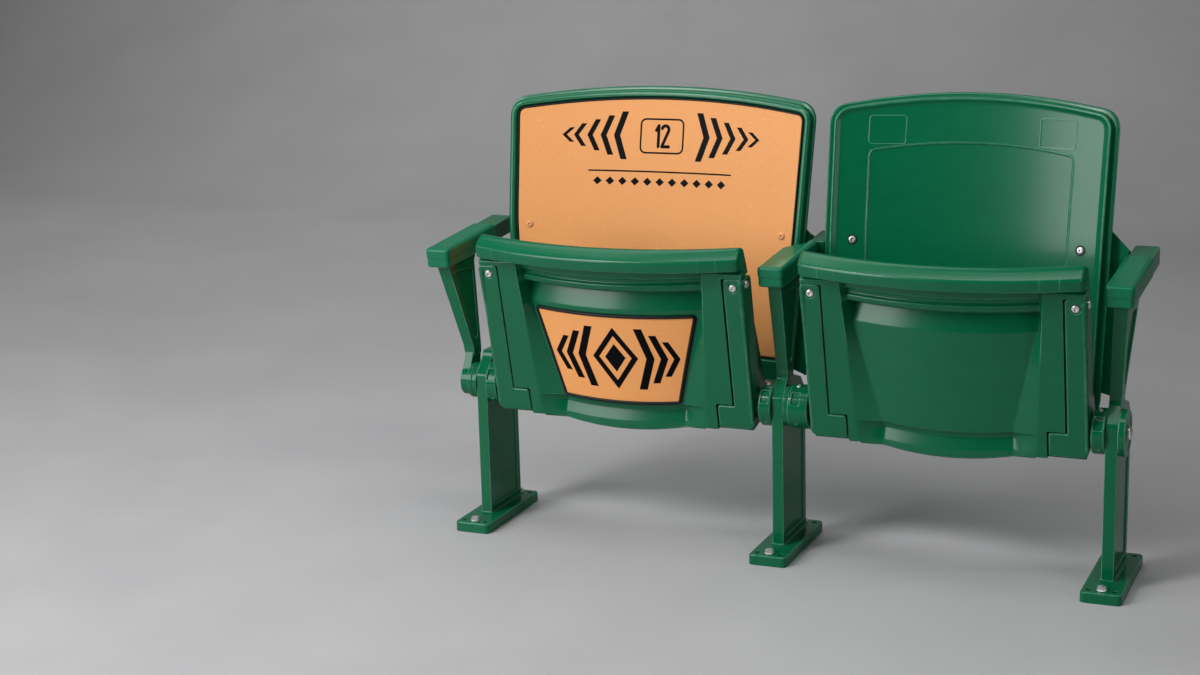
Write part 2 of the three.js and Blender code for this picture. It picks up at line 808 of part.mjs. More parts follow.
// Front rows of the pan: height, depth of the pocket floor, fall at the middle
const panRows = [
  [panBottom, panelFace - stepRun, panBelly],
  [panBottom + stepRun, panelFace + overrun, panBelly],
  [kickLow + stepRun, panelFace, pocketSag],
  [kickHigh, slopeFace, pocketSag],
  [panelBottom - stepRun, slopeFace + overrun, pocketSag],
  [panelBottom, panelFace, pocketSag],
  [(panelBottom + panelTop) / 2, panelFace, 0],
  [panelTop, panelFace, 0],
  [slopeTop, slopeFace, 0],
  [ridgeLow - stepRun, slopeFace + stepRun, 0],
  [ridgeLow, ridgeFace, 0],
  [grooveLow - stepRun / 2, ridgeFace, 0],
  [grooveLow, ridgeFace - grooveDepth, 0],
  [grooveHigh, ridgeFace - grooveDepth, 0],
  [(bracketTop + lipRoot) / 2, ridgeFace, 0],
  [(bracketTop + lipRoot) / 2 + clearance, ridgeFace, 0],
  [lipRoot, ridgeFace, 0],
];
const lipRows = [
  [lipBottom, lipFace - overrun],
  [lipBottom + overrun, lipFace],
  [lipNose - overrun, lipFace],
  [lipNose, lipFace - overrun],
  [lipTop - overrun, (lipFace + panRearTop) / 2 - stepRun],
  [lipTop, panRearTop + lipRearEdge],
];

// Forward bow of the pocket floor across the seat
const pocketBow = (x) => panBow * (1 - (x / pocketBowHalf) ** 2);

function seatPan(halfWidth) {
  const unit = halfWidth / seatHalfMean;
  const arch = (x) => 1 - (x / halfWidth) ** 2;
  const columns = (s) => {
    const floor = floorHalf(unit, s);
    const rim = pocketHalf(unit, s);
    const side = s > (bracketTop + lipRoot) / 2 ? halfWidth : halfWidth - bracketFlange - clearance;
    const list = [...panColumnShares.map((share) => share * floor), floor, rim, side - lipEnd, side];
    return [...list.slice(1).reverse().map((x) => -x), ...list];
  };
  // The seat face runs flat behind the pocket and rolls up at the lip
  const rollPower = Math.log(0.5) / Math.log(slopeTop / lipTop);
  const rearDepth = (x, s) => {
    const share = THREE.MathUtils.clamp(s / lipTop, 0, 1);
    const dish = mix(panDish, lipBow, share) - panHollow * Math.sin(Math.PI * share ** rollPower);
    return mix(panRear, panRearTop, share) + dish * arch(x);
  };
  const front = [];
  const rear = [];
  const addRow = (s, depthAt, fall) => {
    const xs = columns(s);
    front.push(xs.map((x) => new THREE.Vector3(x, s - fall(x), depthAt(x, xs))));
    rear.push(xs.map((x) => new THREE.Vector3(x, s - fall(x), rearDepth(x, s))));
  };
  for (const [s, depth, sag] of panRows) {
    const rim = pocketHalf(unit, s);
    const floor = floorHalf(unit, s);
    const fall = (x) => sag * Math.max(0, 1 - (x / rim) ** 2);
    addRow(s, (x, xs) => {
      const a = Math.abs(x);
      if (a <= floor + overrun / 2) return depth + pocketBow(x);
      return a >= xs[xs.length - 1] ? stileFace - overrun : stileFace;
    }, fall);
  }
  for (const [s, depth] of lipRows) {
    addRow(s, (x, xs) => {
      const atEnd = Math.abs(x) >= xs[xs.length - 1];
      return depth + lipBow * arch(x) - (atEnd ? lipEnd * lipEndShare : 0);
    }, () => 0);
  }
  return closeGrid(front, rear);
}

// Closed solid between two grids with the same rows and columns
function closeGrid(front, rear) {
  const rows = front.length;
  const columns = front[0].length;
  const at = (layer, r, c) => layer * rows * columns + r * columns + c;
  const index = [];
  const quad = (a, b, c, d) => index.push(a, b, c, a, c, d);
  for (let r = 0; r + 1 < rows; r += 1) {
    for (let c = 0; c + 1 < columns; c += 1) {
      quad(at(0, r, c), at(0, r, c + 1), at(0, r + 1, c + 1), at(0, r + 1, c));
      quad(at(1, r, c), at(1, r + 1, c), at(1, r + 1, c + 1), at(1, r, c + 1));
    }
  }
  const last = columns - 1;
  for (let r = 0; r + 1 < rows; r += 1) {
    quad(at(0, r, 0), at(0, r + 1, 0), at(1, r + 1, 0), at(1, r, 0));
    quad(at(0, r, last), at(1, r, last), at(1, r + 1, last), at(0, r + 1, last));
  }
  for (let c = 0; c + 1 < columns; c += 1) {
    quad(at(0, 0, c), at(1, 0, c), at(1, 0, c + 1), at(0, 0, c + 1));
    quad(at(0, rows - 1, c), at(0, rows - 1, c + 1), at(1, rows - 1, c + 1), at(1, rows - 1, c));
  }
  return solidFrom([...front.flat(), ...rear.flat()], index);
}

// Outline of the bracket's face plate on the side where x is positive
function bracketOutline(halfWidth, grow) {
  const inner = halfWidth - bracketWidth - grow;
  const toe = halfWidth - bracketToe - grow;
  const outer = grow ? halfWidth + overrun : halfWidth;
  return rounded([
    [inner, bracketToeHigh + grow], [toe, bracketToeHigh + grow, bracketCorner],
    [toe, bracketBottom - grow - (grow ? hubRadius : 0)], [outer, bracketBottom - grow - (grow ? hubRadius : 0),
      grow ? 0 : bracketHeel],
    [outer, bracketTop + (grow ? clearance : 0), grow ? 0 : bracketCorner / 2],
    [inner, bracketTop + (grow ? clearance : 0), bracketCorner],
  ]);
}

const screwSeat = [faceScrewInset, bracketTop - faceScrewDrop];

function drill(radius, from, to) {
  const geometry = new THREE.CylinderGeometry(radius, radius, to - from, smallSteps);
  geometry.applyMatrix4(new THREE.Matrix4().makeRotationX(Math.PI / 2));
  geometry.translate(0, 0, (from + to) / 2);
  return toSolid(geometry);
}

// Bracket for the side where x is positive; reach is where its pivot boss meets the hub
function seatBracket(halfWidth, reach) {
  const plate = prismZ(bracketOutline(halfWidth, 0), stileFace - bracketPlate, stileFace, 0, castChamfer);
  const flange = box(halfWidth - bracketFlange, halfWidth, bracketBottom + bracketHeel, bracketTop - bracketCorner,
    bracketRear, stileFace - bracketPlate / 2);
  const ear = barX(bossRadius, halfWidth - bracketFlange, reach, 0, 0, bossSteps, castChamfer);
  const innerBoss = barX(innerBossRadius, halfWidth - bracketFlange - innerBossLength, halfWidth, 0, 0, boreSteps);
  const bore = barX(pinRadius + clearance, halfWidth - bracketFlange - innerBossLength + bossWall,
    reach + overrun, 0, 0, bossSteps);
  const [inX, s] = screwSeat;
  const faceHole = moved(drill(screwShank + clearance, 0, stileFace * 2), shift(halfWidth - inX, s, 0));
  const sideHole = barX(screwShank + clearance, halfWidth - bracketFlange * 2, halfWidth + overrun,
    s, sideScrewRise, smallSteps);
  return plate.add(flange).add(ear).add(innerBoss).subtract(bore).subtract(faceHole).subtract(sideHole);
}

function cutPanSide(pan, halfWidth, side) {
  const flip = (solid) => (side > 0 ? solid : moved(solid, mirrorX));
  const plate = prismZ(bracketOutline(halfWidth, bracketReveal), stileFace - bracketPlate - clearance,
    stileFace + hubRadius);
  const bossInner = halfWidth - bracketFlange - innerBossLength - clearance;
  const pocket = barX(innerBossRadius + clearance, bossInner, halfWidth, 0, 0, boreSteps);
  const [inX, s] = screwSeat;
  const faceHole = moved(drill(screwShank + clearance, stileFace - screwLength - overrun, stileFace),
    shift(halfWidth - inX, s, 0));
  const sideHole = barX(screwShank + clearance, halfWidth - screwLength - overrun, halfWidth, s, sideScrewRise,
    smallSteps);
  return pan.subtract(flip(plate)).subtract(flip(pocket)).subtract(flip(faceHole)).subtract(flip(sideHole));
}

// Tan insert in the pocket floor of the left seat; outline follows the pocket
function insertRings(unit, lift) {
  const low = panelBottom + insertLowGap;
  const high = panelTop - insertTopGap;
  const edge = (s) => floorHalf(unit, s) - insertInset;
  const corners = [
    [edge(low), low, insertCorner], [edge(high), high, insertCorner],
    [-edge(high), high, insertCorner], [-edge(low), low, insertCorner],
  ];
  const outline = [];
  const line = rounded(corners);
  line.forEach((point, i) => {
    outline.push(point);
    const next = line[(i + 1) % line.length];
    const pieces = Math.abs(next.x - point.x) > edge(low) ? archSteps : 0;
    for (let k = 1; k < pieces; k += 1) outline.push(point.clone().lerp(next, k / pieces));
  });
  return { outline, at: (list, depth) => list.map((p) => lift(p.x, p.y, depth)) };
}

function seatInsert(halfWidth) {
  const unit = halfWidth / seatHalfMean;
  const sagAt = (x, s) => pocketSag * Math.max(0, 1 - (x / pocketHalf(unit, s)) ** 2)
    * THREE.MathUtils.clamp(1 - (s - panelBottom) / ((panelTop - panelBottom) / 2), 0, 1);
  const lift = (x, s, depth) => new THREE.Vector3(x, s - sagAt(x, s), panelFace + pocketBow(x) + depth);
  const { outline, at } = insertRings(unit, lift);
  const mid = (panelTop + panelBottom) / 2;
  const shrink = (list, share) => list.map((p) => new THREE.Vector2(p.x * share, mix(mid, p.y, share)));
  const inner = inset(outline, gasketWidth + clearance);
  const under = insertGap;
  const plate = loft([
    ...insertShares.map((share) => at(shrink(inner, share), under)),
    ...[...insertShares].reverse().map((share) => at(shrink(inner, share), insertThick)),
  ]);
  const lip = inset(outline, gasketWidth);
  const ringSolid = tubeRing([at(outline, under), at(lip, under), at(lip, insertThick + gasketProud),
    at(outline, insertThick + gasketProud)]);
  return { plate, ringSolid };
}

// Closed band through four rings, the last joined to the first
function tubeRing(rings) {
  const count = rings[0].length;
  const index = [];
  rings.forEach((ring, r) => {
    const next = (r + 1) % rings.length;
    for (let i = 0; i < count; i += 1) {
      const j = (i + 1) % count;
      index.push(r * count + i, next * count + j, r * count + j, r * count + i, next * count + i, next * count + j);
    }
  });
  return solidFrom(rings.flat(), index);
}

const seatNames = ['left', 'right'];
seatNames.forEach((name, i) => {
  const { centre, half: halfWidth } = seatSpans[i];
  const leftStandard = i === 0 ? -pitch : 0;
  const rightStandard = leftStandard + pitch;
  const reaches = {
    left: centre - (leftStandard + leftHubFaces[i]) - clearance,
    right: rightStandard - hubFace - centre - clearance,
  };
  let pan = seatPan(halfWidth);
  pan = cutPanSide(pan, halfWidth, 1);
  pan = cutPanSide(pan, halfWidth, -1);
  place(`seat_pan_${name}`, pan, plasticGreen, seatFrame(centre));

  for (const [sideName, side] of [['left', -1], ['right', 1]]) {
    const reach = reaches[sideName];
    const flip = (solid) => (side > 0 ? solid : moved(solid, mirrorX));
    place(`seat_bracket_${name}_${sideName}`, flip(seatBracket(halfWidth, reach)), plasticGreen,
      seatFrame(centre));
    const [inX, s] = screwSeat;
    const screw = fastener(screwHead, screwHeight, screwShank, screwLength);
    place(`seat_screw_${name}_${sideName}`, screw, stainless,
      seatFrame(centre).multiply(shift(side * (halfWidth - inX), s, stileFace + clearance)));
    const outward = moved(screw, alongX);
    place(`side_screw_${name}_${sideName}`, flip(moved(outward, shift(halfWidth + clearance, s, sideScrewRise))),
      stainless, seatFrame(centre));

    // The hub stands on the standard at this side of the seat
    const standardX = side < 0 ? leftStandard : rightStandard;
    const face = side < 0 ? leftHubFaces[i] : hubFace;
    place(`hinge_hub_${name}_${sideName}`, hub(-side, face), castGreen, shift(standardX, 0, 0));
    const pinEnd = halfWidth - bracketFlange - innerBossLength + bossWall + pinEndGap;
    const pinStart = side < 0 ? standardX + pinEndGap : standardX - pinEndGap;
    const pinStop = centre + side * pinEnd;
    const x0 = Math.min(pinStart, pinStop);
    const x1 = Math.max(pinStart, pinStop);
    place(`hinge_pin_${name}_${sideName}`,
      barX(pinRadius, x0, x1, axisY, axisZ, boreSteps), stainless);
  }
  place(`return_spring_${name}`, returnSpring(1), springSteel, shift(leftStandard, 0, 0));
});

const leftInsert = seatInsert(seatSpans[0].half);
const leftSeat = seatFrame(seatSpans[0].centre);
place('seat_panel_left', leftInsert.plate, panelTan, leftSeat);
place('seat_gasket_left', leftInsert.ringSolid, gasketBlack, leftSeat);

// Backs

function backOutline(halfWidth) {
  const which = backHalfWidths.indexOf(halfWidth);
  const backLowInset = backLowInsets[which];
  const low = halfWidth - backLowInset;
  const high = halfWidth + backTopFlares[which];
  const right = rounded([
    [0, backBottomZ], [low, backBottomZ, backBottomCorner], [halfWidth, backBreakZ],
    [high, backCornerZ, backCorner], [0, backCornerZ + backCorner / 4],
  ]).slice(1, -1);
  const cornerEnd = right[right.length - 1];
  const crown = [];
  for (let k = 1; k < archSteps; k += 1) {
    const x = mix(cornerEnd.x, -cornerEnd.x, k / archSteps);
    const rise = backTopZ - cornerEnd.y;
    crown.push(new THREE.Vector2(x, cornerEnd.y + rise * (1 - (x / cornerEnd.x) ** 2)));
  }
  const between = (point, next) => quarterShares.map((share) => point.clone().lerp(next, share));
  const filled = [];
  right.forEach((point, i) => {
    filled.push(point);
    const next = right[i + 1];
    if (next && next.distanceTo(point) > longSide) filled.push(...between(point, next));
  });
  const leftSide = filled.map((p) => new THREE.Vector2(-p.x, p.y)).reverse();
  const first = filled[0];
  const floor = quarterShares.map((share) => new THREE.Vector2(mix(-first.x, first.x, share), first.y));
  return [...filled, ...crown, ...leftSide, ...floor];
}

function backPoint(halfWidth, p, depth) {
  const dish = backDish * (1 - (p.x / halfWidth) ** 2);
  return new THREE.Vector3(p.x, backLine(p.y) + dish + depth, p.y);
}

const shrinkTo = (list, share, centreZ) => list.map(
  (p) => new THREE.Vector2(p.x * share, mix(centreZ, p.y, share)),
);
const backMid = (backTopZ + backBottomZ) / 2;

// Inner outlines keep clear of the deep lower rim: heights below the ease line are drawn up
const raiseShare = (faceEaseZ - faceLowZ) / (faceEaseZ - backBottomZ - rimWidth);
const raised = (list) => list.map(
  (p) => new THREE.Vector2(p.x, p.y < faceEaseZ ? mix(faceEaseZ, p.y, raiseShare) : p.y),
);

// Edge of the panel that lies in the face of a shell
function backPanelEdge(outline) {
  return inset(raised(inset(outline, rimWidth + clearance)), backGasketWidth + clearance);
}

function backShell(halfWidth, recess, framed) {
  const outline = backOutline(halfWidth);
  const at = (list, depth) => list.map((p) => backPoint(halfWidth, p, depth));
  const face = raised(inset(outline, rimWidth));
  const rings = [];
  if (framed) {
    const frame = face.map((p) => new THREE.Vector2(
      p.x * (1 - insetSide / halfWidth), mix(backMid, p.y, 1 - insetTop / (backTopZ - backMid)),
    ));
    const bed = recess + insetDepth;
    for (const share of ringShares) rings.push(at(shrinkTo(frame, share, backMid), bed));
    rings.push(at(frame, bed), at(shrinkTo(frame, insetEaseShare, backMid), recess));
  } else {
    const bed = backPanelEdge(outline);
    for (const share of ringShares) rings.push(at(shrinkTo(bed, share, backMid), recess));
    rings.push(at(bed, recess));
  }
  rings.push(
    at(face, recess),
    at(raised(inset(outline, rimCrest)), 0),
    at(inset(outline, rimRoll), rimRoll / 2),
    at(outline, rimRoll * 2),
    at(outline, rearLayerDepth - overrun),
    at(inset(outline, -rearLayerStep), rearLayerDepth),
    at(inset(outline, -rearLayerStep), backDepth - rearEdge),
    at(inset(outline, rearEdge), backDepth),
  );
  for (const share of rearShares) rings.push(at(shrinkTo(outline, share, backMid), backDepth));
  return loft(rings);
}

// Frame on the back's face at a screw: z points out of the face
function screwFrame(halfWidth, side, depth) {
  const x = side * (halfWidth - backScrewInset);
  const across = new THREE.Vector3(1, -2 * backDish * x / halfWidth ** 2, 0).normalize();
  const out = across.clone().cross(new THREE.Vector3(0, backLowRake / backLowRakeRise, 1)).normalize();
  const up = out.clone().cross(across);
  const turn = new THREE.Matrix4().makeBasis(across, up, out);
  const point = backPoint(halfWidth, new THREE.Vector2(x, backScrewZ), 0);
  return shift(point.x, point.y, point.z).multiply(turn).multiply(shift(0, 0, -depth));
}

// Shallow rectangular seat for a number plate, near each top corner
function numberPad(halfWidth, side, recess) {
  const x = side * (halfWidth - padSide);
  const z = backTopZ - padTop;
  const across = new THREE.Vector3(1, -2 * backDish * x / halfWidth ** 2, 0).normalize();
  const out = across.clone().cross(new THREE.Vector3(0, backRake / backRakeRise, 1)).normalize();
  const point = backPoint(halfWidth, new THREE.Vector2(x, z), recess);
  const turn = new THREE.Matrix4().makeBasis(across, out.clone().cross(across), out);
  const outline = rounded([
    [-padWidth / 2, -padHeight / 2, padCorner], [padWidth / 2, -padHeight / 2, padCorner],
    [padWidth / 2, padHeight / 2, padCorner], [-padWidth / 2, padHeight / 2, padCorner],
  ]);
  return moved(prismZ(outline, -padDepth, padHeight / 2), shift(point.x, point.y, point.z).multiply(turn));
}

function backScrewHole(halfWidth, side) {
  return moved(drill(screwShank + clearance, -backDepth * 2, backDepth), screwFrame(halfWidth, side, 0));
}

const backCentres = backShifts.map((offset, i) => i * pitch - pitch / 2 + offset);
backHalfWidths.forEach((halfWidth, i) => {
  const name = seatNames[i];
  const centre = backCentres[i];
  const framed = i === 1;
  const recess = framed ? plainRecess : faceRecess;
  let shell = backShell(halfWidth, recess, framed);
  for (const side of [-1, 1]) {
    shell = shell.subtract(backScrewHole(halfWidth, side));
    if (framed) shell = shell.subtract(numberPad(halfWidth, side, recess));
  }
  place(`back_shell_${name}`, shell, plasticGreen, shift(centre, 0, 0));

  for (const [sideName, side] of [['left', -1], ['right', 1]]) {
    const seat = recess - (framed ? 0 : clearance + backPanelThick) - insertGap;
    const screw = fastener(screwHead, screwHeight, screwShank, backDepth);
    place(`back_screw_${name}_${sideName}`, screw, framed ? stainless : panelTan,
      shift(centre, 0, 0).multiply(screwFrame(halfWidth, side, seat)));
  }
});

// Tan panel and gasket that cover the left back's face
{
  const halfWidth = backHalfWidths[0];
  const outline = raised(inset(backOutline(halfWidth), rimWidth + clearance));
  const at = (list, depth) => list.map((p) => backPoint(halfWidth, p, faceRecess - clearance + depth));
  const inner = backPanelEdge(backOutline(halfWidth));
  const lip = inset(outline, backGasketWidth);
  const rings = [];
  for (const share of ringShares) rings.push(at(shrinkTo(inner, share, backMid), 0));
  rings.push(at(inner, 0), at(inner, -backPanelThick));
  for (const share of [...ringShares].reverse()) rings.push(at(shrinkTo(inner, share, backMid), -backPanelThick));
  let panel = loft(rings);
  for (const side of [-1, 1]) panel = panel.subtract(backScrewHole(halfWidth, side));
  place('back_panel_left', panel, panelTan, shift(backCentres[0], 0, 0));
  const band = tubeRing([at(outline, 0), at(outline, -backPanelThick - backGasketProud),
    at(lip, -backPanelThick - backGasketProud), at(lip, 0)]);
  place('back_gasket_left', band, gasketBlack, shift(backCentres[0], 0, 0));
}

// Wings: a plate behind the shell and a flange against the standard

function backWing(reach, halfWidth) {
  const dish = (x) => backDish * Math.max(0, 1 - (x / halfWidth) ** 2);
  const base = (x, z) => backLine(z) + dish(x) + backDepth + wingGap;
  const wingInner = halfWidth - backScrewInset - wingLap;
  const mid = (wingInner + reach) / 2;
  const shoulder = wingTopZ - wingTopDrop;
  const row = (z, outer) => [[wingInner, z], [mid, z], [outer, z]];
  const rows = [
    [[wingInner, wingBottomZ + wingBottomRise], [mid, wingBottomZ + wingBottomRise / 2], [reach, wingBottomZ]],
    row(shoulder, reach),
    row(backBreakZ, reach - (backBreakZ - shoulder)),
    row(wingTopZ, reach - wingTopDrop),
  ];
  const layer = (depth) => rows.map((list) => list.map(([x, z]) => new THREE.Vector3(x, base(x, z) + depth, z)));
  const plate = closeGrid(layer(0), layer(wingThick));
  const side = [
    [0, wingBottomZ], [wingFlangeLow, wingBottomZ], [wingFlange, shoulder - wingSweep],
    [wingFlange, shoulder - wingFlangeLow], [wingThick, shoulder], [0, shoulder],
  ].map(([y, z]) => new THREE.Vector2(base(reach, z) + y, z));
  return plate.add(prismX(side, reach - wingThick, reach));
}

const [leftBack, rightBack] = backCentres;
const wings = [
  ['left_left', leftBack, -1, leftBack - (-pitch + half) - clearance, 0],
  ['left_right', leftBack, 1, slimLeft - leftBack, 0],
  ['right_left', rightBack, -1, rightBack - tongueShiftRight - clearance, 1],
  ['right_right', rightBack, 1, pitch + rightLean - tongueWidth / 2 - rightBack - clearance, 1],
];
for (const [name, centre, side, reach, i] of wings) {
  const wing = backWing(reach, backHalfWidths[i]).subtract(backScrewHole(backHalfWidths[i], 1));
  place(`back_wing_${name}`, side > 0 ? wing : moved(wing, mirrorX), castGreen, shift(centre, 0, 0));
}

export default chair;
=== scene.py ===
"""Looks of a two-place stadium tip-up chair: fine surfaces, materials, studio and camera.
Shapes are worked out in millimetres in the frame of the row; pieces are made in metres."""

import math

import bmesh
import bpy
import numpy as np
from mathutils import Matrix, Vector
from mathutils.geometry import delaunay_2d_cdt, tessellate_polygon


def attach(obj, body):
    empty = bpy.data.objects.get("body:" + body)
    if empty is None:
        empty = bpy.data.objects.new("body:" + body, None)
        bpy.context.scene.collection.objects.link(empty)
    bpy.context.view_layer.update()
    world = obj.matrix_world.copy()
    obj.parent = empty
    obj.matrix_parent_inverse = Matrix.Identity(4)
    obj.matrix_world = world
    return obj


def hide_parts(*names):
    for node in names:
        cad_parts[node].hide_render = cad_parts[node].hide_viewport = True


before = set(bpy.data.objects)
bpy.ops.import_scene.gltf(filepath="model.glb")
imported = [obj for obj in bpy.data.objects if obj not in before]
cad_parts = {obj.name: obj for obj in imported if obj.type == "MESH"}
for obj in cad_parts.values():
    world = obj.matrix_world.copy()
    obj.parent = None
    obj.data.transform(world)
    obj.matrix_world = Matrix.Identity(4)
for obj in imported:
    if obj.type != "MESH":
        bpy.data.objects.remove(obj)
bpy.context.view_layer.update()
PI = math.pi
QUARTER = PI / 2

# Sizes shared with the solids: x runs along the row, y to the rear and z up
PITCH = 610.0  # from one standard to the next
AXIS_Y, AXIS_Z = -19.0, 285.0  # the hinge line
POST_HALF, POST_FACE = 11.0, 11.3  # half of a post's thickness, and the face beside it
HUB_FACE, LONG_HUB_FACE = 35.0, 60.0  # from a standard's middle to the end of its hubs
TILT = math.radians(12.4)  # lean of a folded seat
SEAT = {"left": (-308.0, 264.0), "right": (319.0, 253.0)}  # middle and half width
SEAT_MEAN = 258.5  # the half width that the pan's own widths are given for
STILE = 42.0  # height of the pan's stiles and of the brackets' faces
BACK = {"left": dict(x=-310.0, half=306.0, flare=8.0, low=20.0, recess=8.0, foot=0.0),
        "right": dict(x=305.0, half=254.0, flare=3.0, low=6.0, recess=4.0, foot=9.0)}
BACK_TOP, BACK_CORNER, BACK_BEND, BACK_BOTTOM, BACK_MID = 841.0, 821.0, 590.0, 300.0, 570.5
ARM_X = {"left": -677.5, "middle": 0.0, "right": 622.0}
ARM_FRONT, ARM_HEIGHT, ARM_LENGTH = -88, 558, 212.0
ARM_SLOPE = math.atan(15 / ARM_LENGTH)
SIDES = (("left", -1), ("right", 1))

# Mesh helpers

ON_AXIS = 0.01  # radius of the smallest ring of a turned piece
HOLE_EDGE, SUNK_EDGE = 0.7, 1.4  # chamfer of a through hole, rounding of a sunk panel


class Shape:
    """Vertices and faces gathered from several surfaces, in millimetres. add takes in more of both, map
    moves every vertex by a function of the whole array, and join takes in another shape."""

    def __init__(self):
        self.v, self.f, self.n = [], [], 0

    def add(self, verts, faces):
        verts = np.asarray(verts, float).reshape(-1, 3)
        self.v.append(verts)
        self.f += [[int(i) + self.n for i in f] for f in faces]
        self.n += len(verts)

    def map(self, fn):
        out = Shape()
        out.add(fn(np.vstack(self.v)), self.f)
        return out

    def join(self, other):
        self.add(np.vstack(other.v), other.f)
        return self


def mix(a, b, t):
    """Straight blend from a to b by the share t."""
    return a + (b - a) * t


def smoothstep(v, a, b):
    """Soft step from 0 at a to 1 at b: three times the share squared less twice its cube."""
    t = np.clip((v - a) / (b - a), 0, 1)
    return t * t * (3 - 2 * t)


def unit(v):
    """Vectors drawn out or in to length one."""
    return v / np.maximum(np.linalg.norm(v, axis=-1, keepdims=True), 1e-9)


def quads(rows, cols, closed=False):
    """Corners of the faces over a grid of points; closed joins the last column to the first."""
    idx = np.arange(rows * cols).reshape(rows, cols)
    if closed:
        idx = np.hstack([idx, idx[:, :1]])
    return np.stack([idx[:-1, :-1], idx[:-1, 1:], idx[1:, 1:], idx[1:, :-1]], -1).reshape(-1, 4).tolist()


def grid(shape, pts, closed=False):
    """Surface over an array of points (rows, columns, 3)."""
    pts = np.asarray(pts, float)
    shape.add(pts, quads(*pts.shape[:2], closed))


def tube(rings):
    """Surface over a stack of rings, each closed on itself."""
    s = Shape()
    grid(s, np.array(rings), closed=True)
    return s


def rounded(corners, step=1.6):
    """Closed outline through corners (a, b, radius). Each arc's middle lies on the corner's bisector, at the
    radius over the sine of half the angle, and the arc ends at the radius over its tangent."""
    out, n = [], len(corners)
    for i, c in enumerate(corners):
        p = np.array(c[:2], float)
        r = c[2] if len(c) > 2 else 0
        if not r:
            out.append(p)
            continue
        a, b = (unit(np.array(corners[k][:2], float) - p) for k in (i - 1, (i + 1) % n))
        half = math.acos(np.clip(a @ b, -1, 1)) / 2
        centre = p + unit(a + b) * r / math.sin(half)
        reach = r / math.tan(half)
        t0, t1 = (math.atan2(*(p + q * reach - centre)[::-1]) for q in (a, b))
        sweep = (t1 - t0 + PI) % (2 * PI) - PI
        k = max(3, int(abs(sweep) * r / step) + 2)
        turn = t0 + sweep * np.arange(k + 1) / k
        out += list(centre + r * np.stack([np.cos(turn), np.sin(turn)], 1))
    return np.array(out)


def rectangle(u0, u1, v0, v1, corner, step=1.6):
    """Outline of a rectangle with rounded corners."""
    return rounded([(u0, v0, corner), (u1, v0, corner), (u1, v1, corner), (u0, v1, corner)], step)


def offset(points, d):
    """Counter-clockwise outline drawn in by d: each point moves along the mean normal of its two sides, by d
    over the cosine of half the turn between them."""
    if abs(d) < 1e-9:
        return points.copy()
    a, b = unit(points - np.roll(points, 1, 0)), unit(np.roll(points, -1, 0) - points)
    n = unit(np.stack([-a[:, 1] - b[:, 1], a[:, 0] + b[:, 0]], 1))
    spread = np.maximum(n[:, 0] * -a[:, 1] + n[:, 1] * a[:, 0], 0.5)[:, None]
    return points + n * d / spread


def ccw(points):
    """The outline counter-clockwise: turned round where its signed area is negative."""
    x, y = points[:, 0], points[:, 1]
    return points if (x * np.roll(y, -1) - y * np.roll(x, -1)).sum() > 0 else points[::-1].copy()


def resample(points, spacing):
    """Closed outline with even steps along its length, placed by the run of its sides."""
    loop = np.vstack([points, points[:1]])
    run = np.concatenate([[0], np.cumsum(np.linalg.norm(np.diff(loop, axis=0), axis=1))])
    n = max(8, int(run[-1] / spacing))
    t = np.arange(n) * run[-1] / n
    return np.stack([np.interp(t, run, loop[:, k]) for k in (0, 1)], 1)


def turns(steps):
    """Even turns once round, in radians."""
    return np.arange(steps) * 2 * PI / steps


def circle(x, y, r, n):
    """Circle about (x, y): the cosine and sine of even turns, times the radius."""
    return np.stack([x + r * np.cos(turns(n)), y + r * np.sin(turns(n))], 1)


def uvw(points, w):
    """Outline at the height w."""
    return np.column_stack([points, np.full(len(points), float(w))])


def scaled(outline, share, middle):
    """Outline drawn towards a middle point by a share of its distance from it."""
    return np.asarray(middle, float) + (outline - middle) * share


def fill(shape, loops):
    """Flat face with holes: the first loop is the outline, the others are holes; all hold 3-D points."""
    tris = tessellate_polygon([[Vector((p[0], p[1], 0)) for p in loop] for loop in loops])
    shape.add(np.vstack(loops), tris)


def cap(shape, ring):
    """Closes a small ring with a fan about its middle."""
    n = len(ring)
    shape.add(np.vstack([ring, ring.mean(0)]), [[i, (i + 1) % n, n] for i in range(n)])


def slab(outline, w0, w1, r=2.0, r0=None, top=(), bottom=(), through=(), steps=4):
    """Plate with an outline in (u, v) and a thickness along w. Quarter circles of radius r (r0 below) draw
    its edge rings in by one less the sine and along by one less the cosine. top and bottom hold sunk panels
    (outline, depth) with soft rims; through holds holes."""
    outline = ccw(outline)
    r0 = r if r0 is None else r0
    arc = np.linspace(0, QUARTER, steps + 1)
    inward, along = 1 - np.sin(arc), 1 - np.cos(arc)
    low = [uvw(offset(outline, r0 * i), w0 + r0 * a) for i, a in zip(inward, along)]
    high = [uvw(offset(outline, r * i), w1 - r * a) for i, a in zip(inward[::-1], along[::-1])]
    s = tube(low + high)
    for edge, w, sign, sunk in ((low[0], w0, 1, bottom), (high[-1], w1, -1, top)):
        loops = [edge]
        for hole, depth in sunk:
            hole = ccw(hole)
            f = min(SUNK_EDGE, depth / 2)
            rings = [uvw(offset(hole, -f * i), w + sign * f * a) for i, a in zip(inward, along)]
            rings += [uvw(offset(hole, f * a), w + sign * (depth - f * i)) for i, a in zip(inward, along)]
            grid(s, np.array(rings), closed=True)
            fill(s, [rings[-1]])
            loops.append(rings[0])
        loops += [uvw(offset(ccw(hole), -HOLE_EDGE), w) for hole in through]
        fill(s, loops)
    for hole in through:
        hole = ccw(hole)
        wide = offset(hole, -HOLE_EDGE)
        s.join(tube([uvw(wide, w0), uvw(hole, w0 + HOLE_EDGE), uvw(hole, w1 - HOLE_EDGE), uvw(wide, w1)]))
    return s


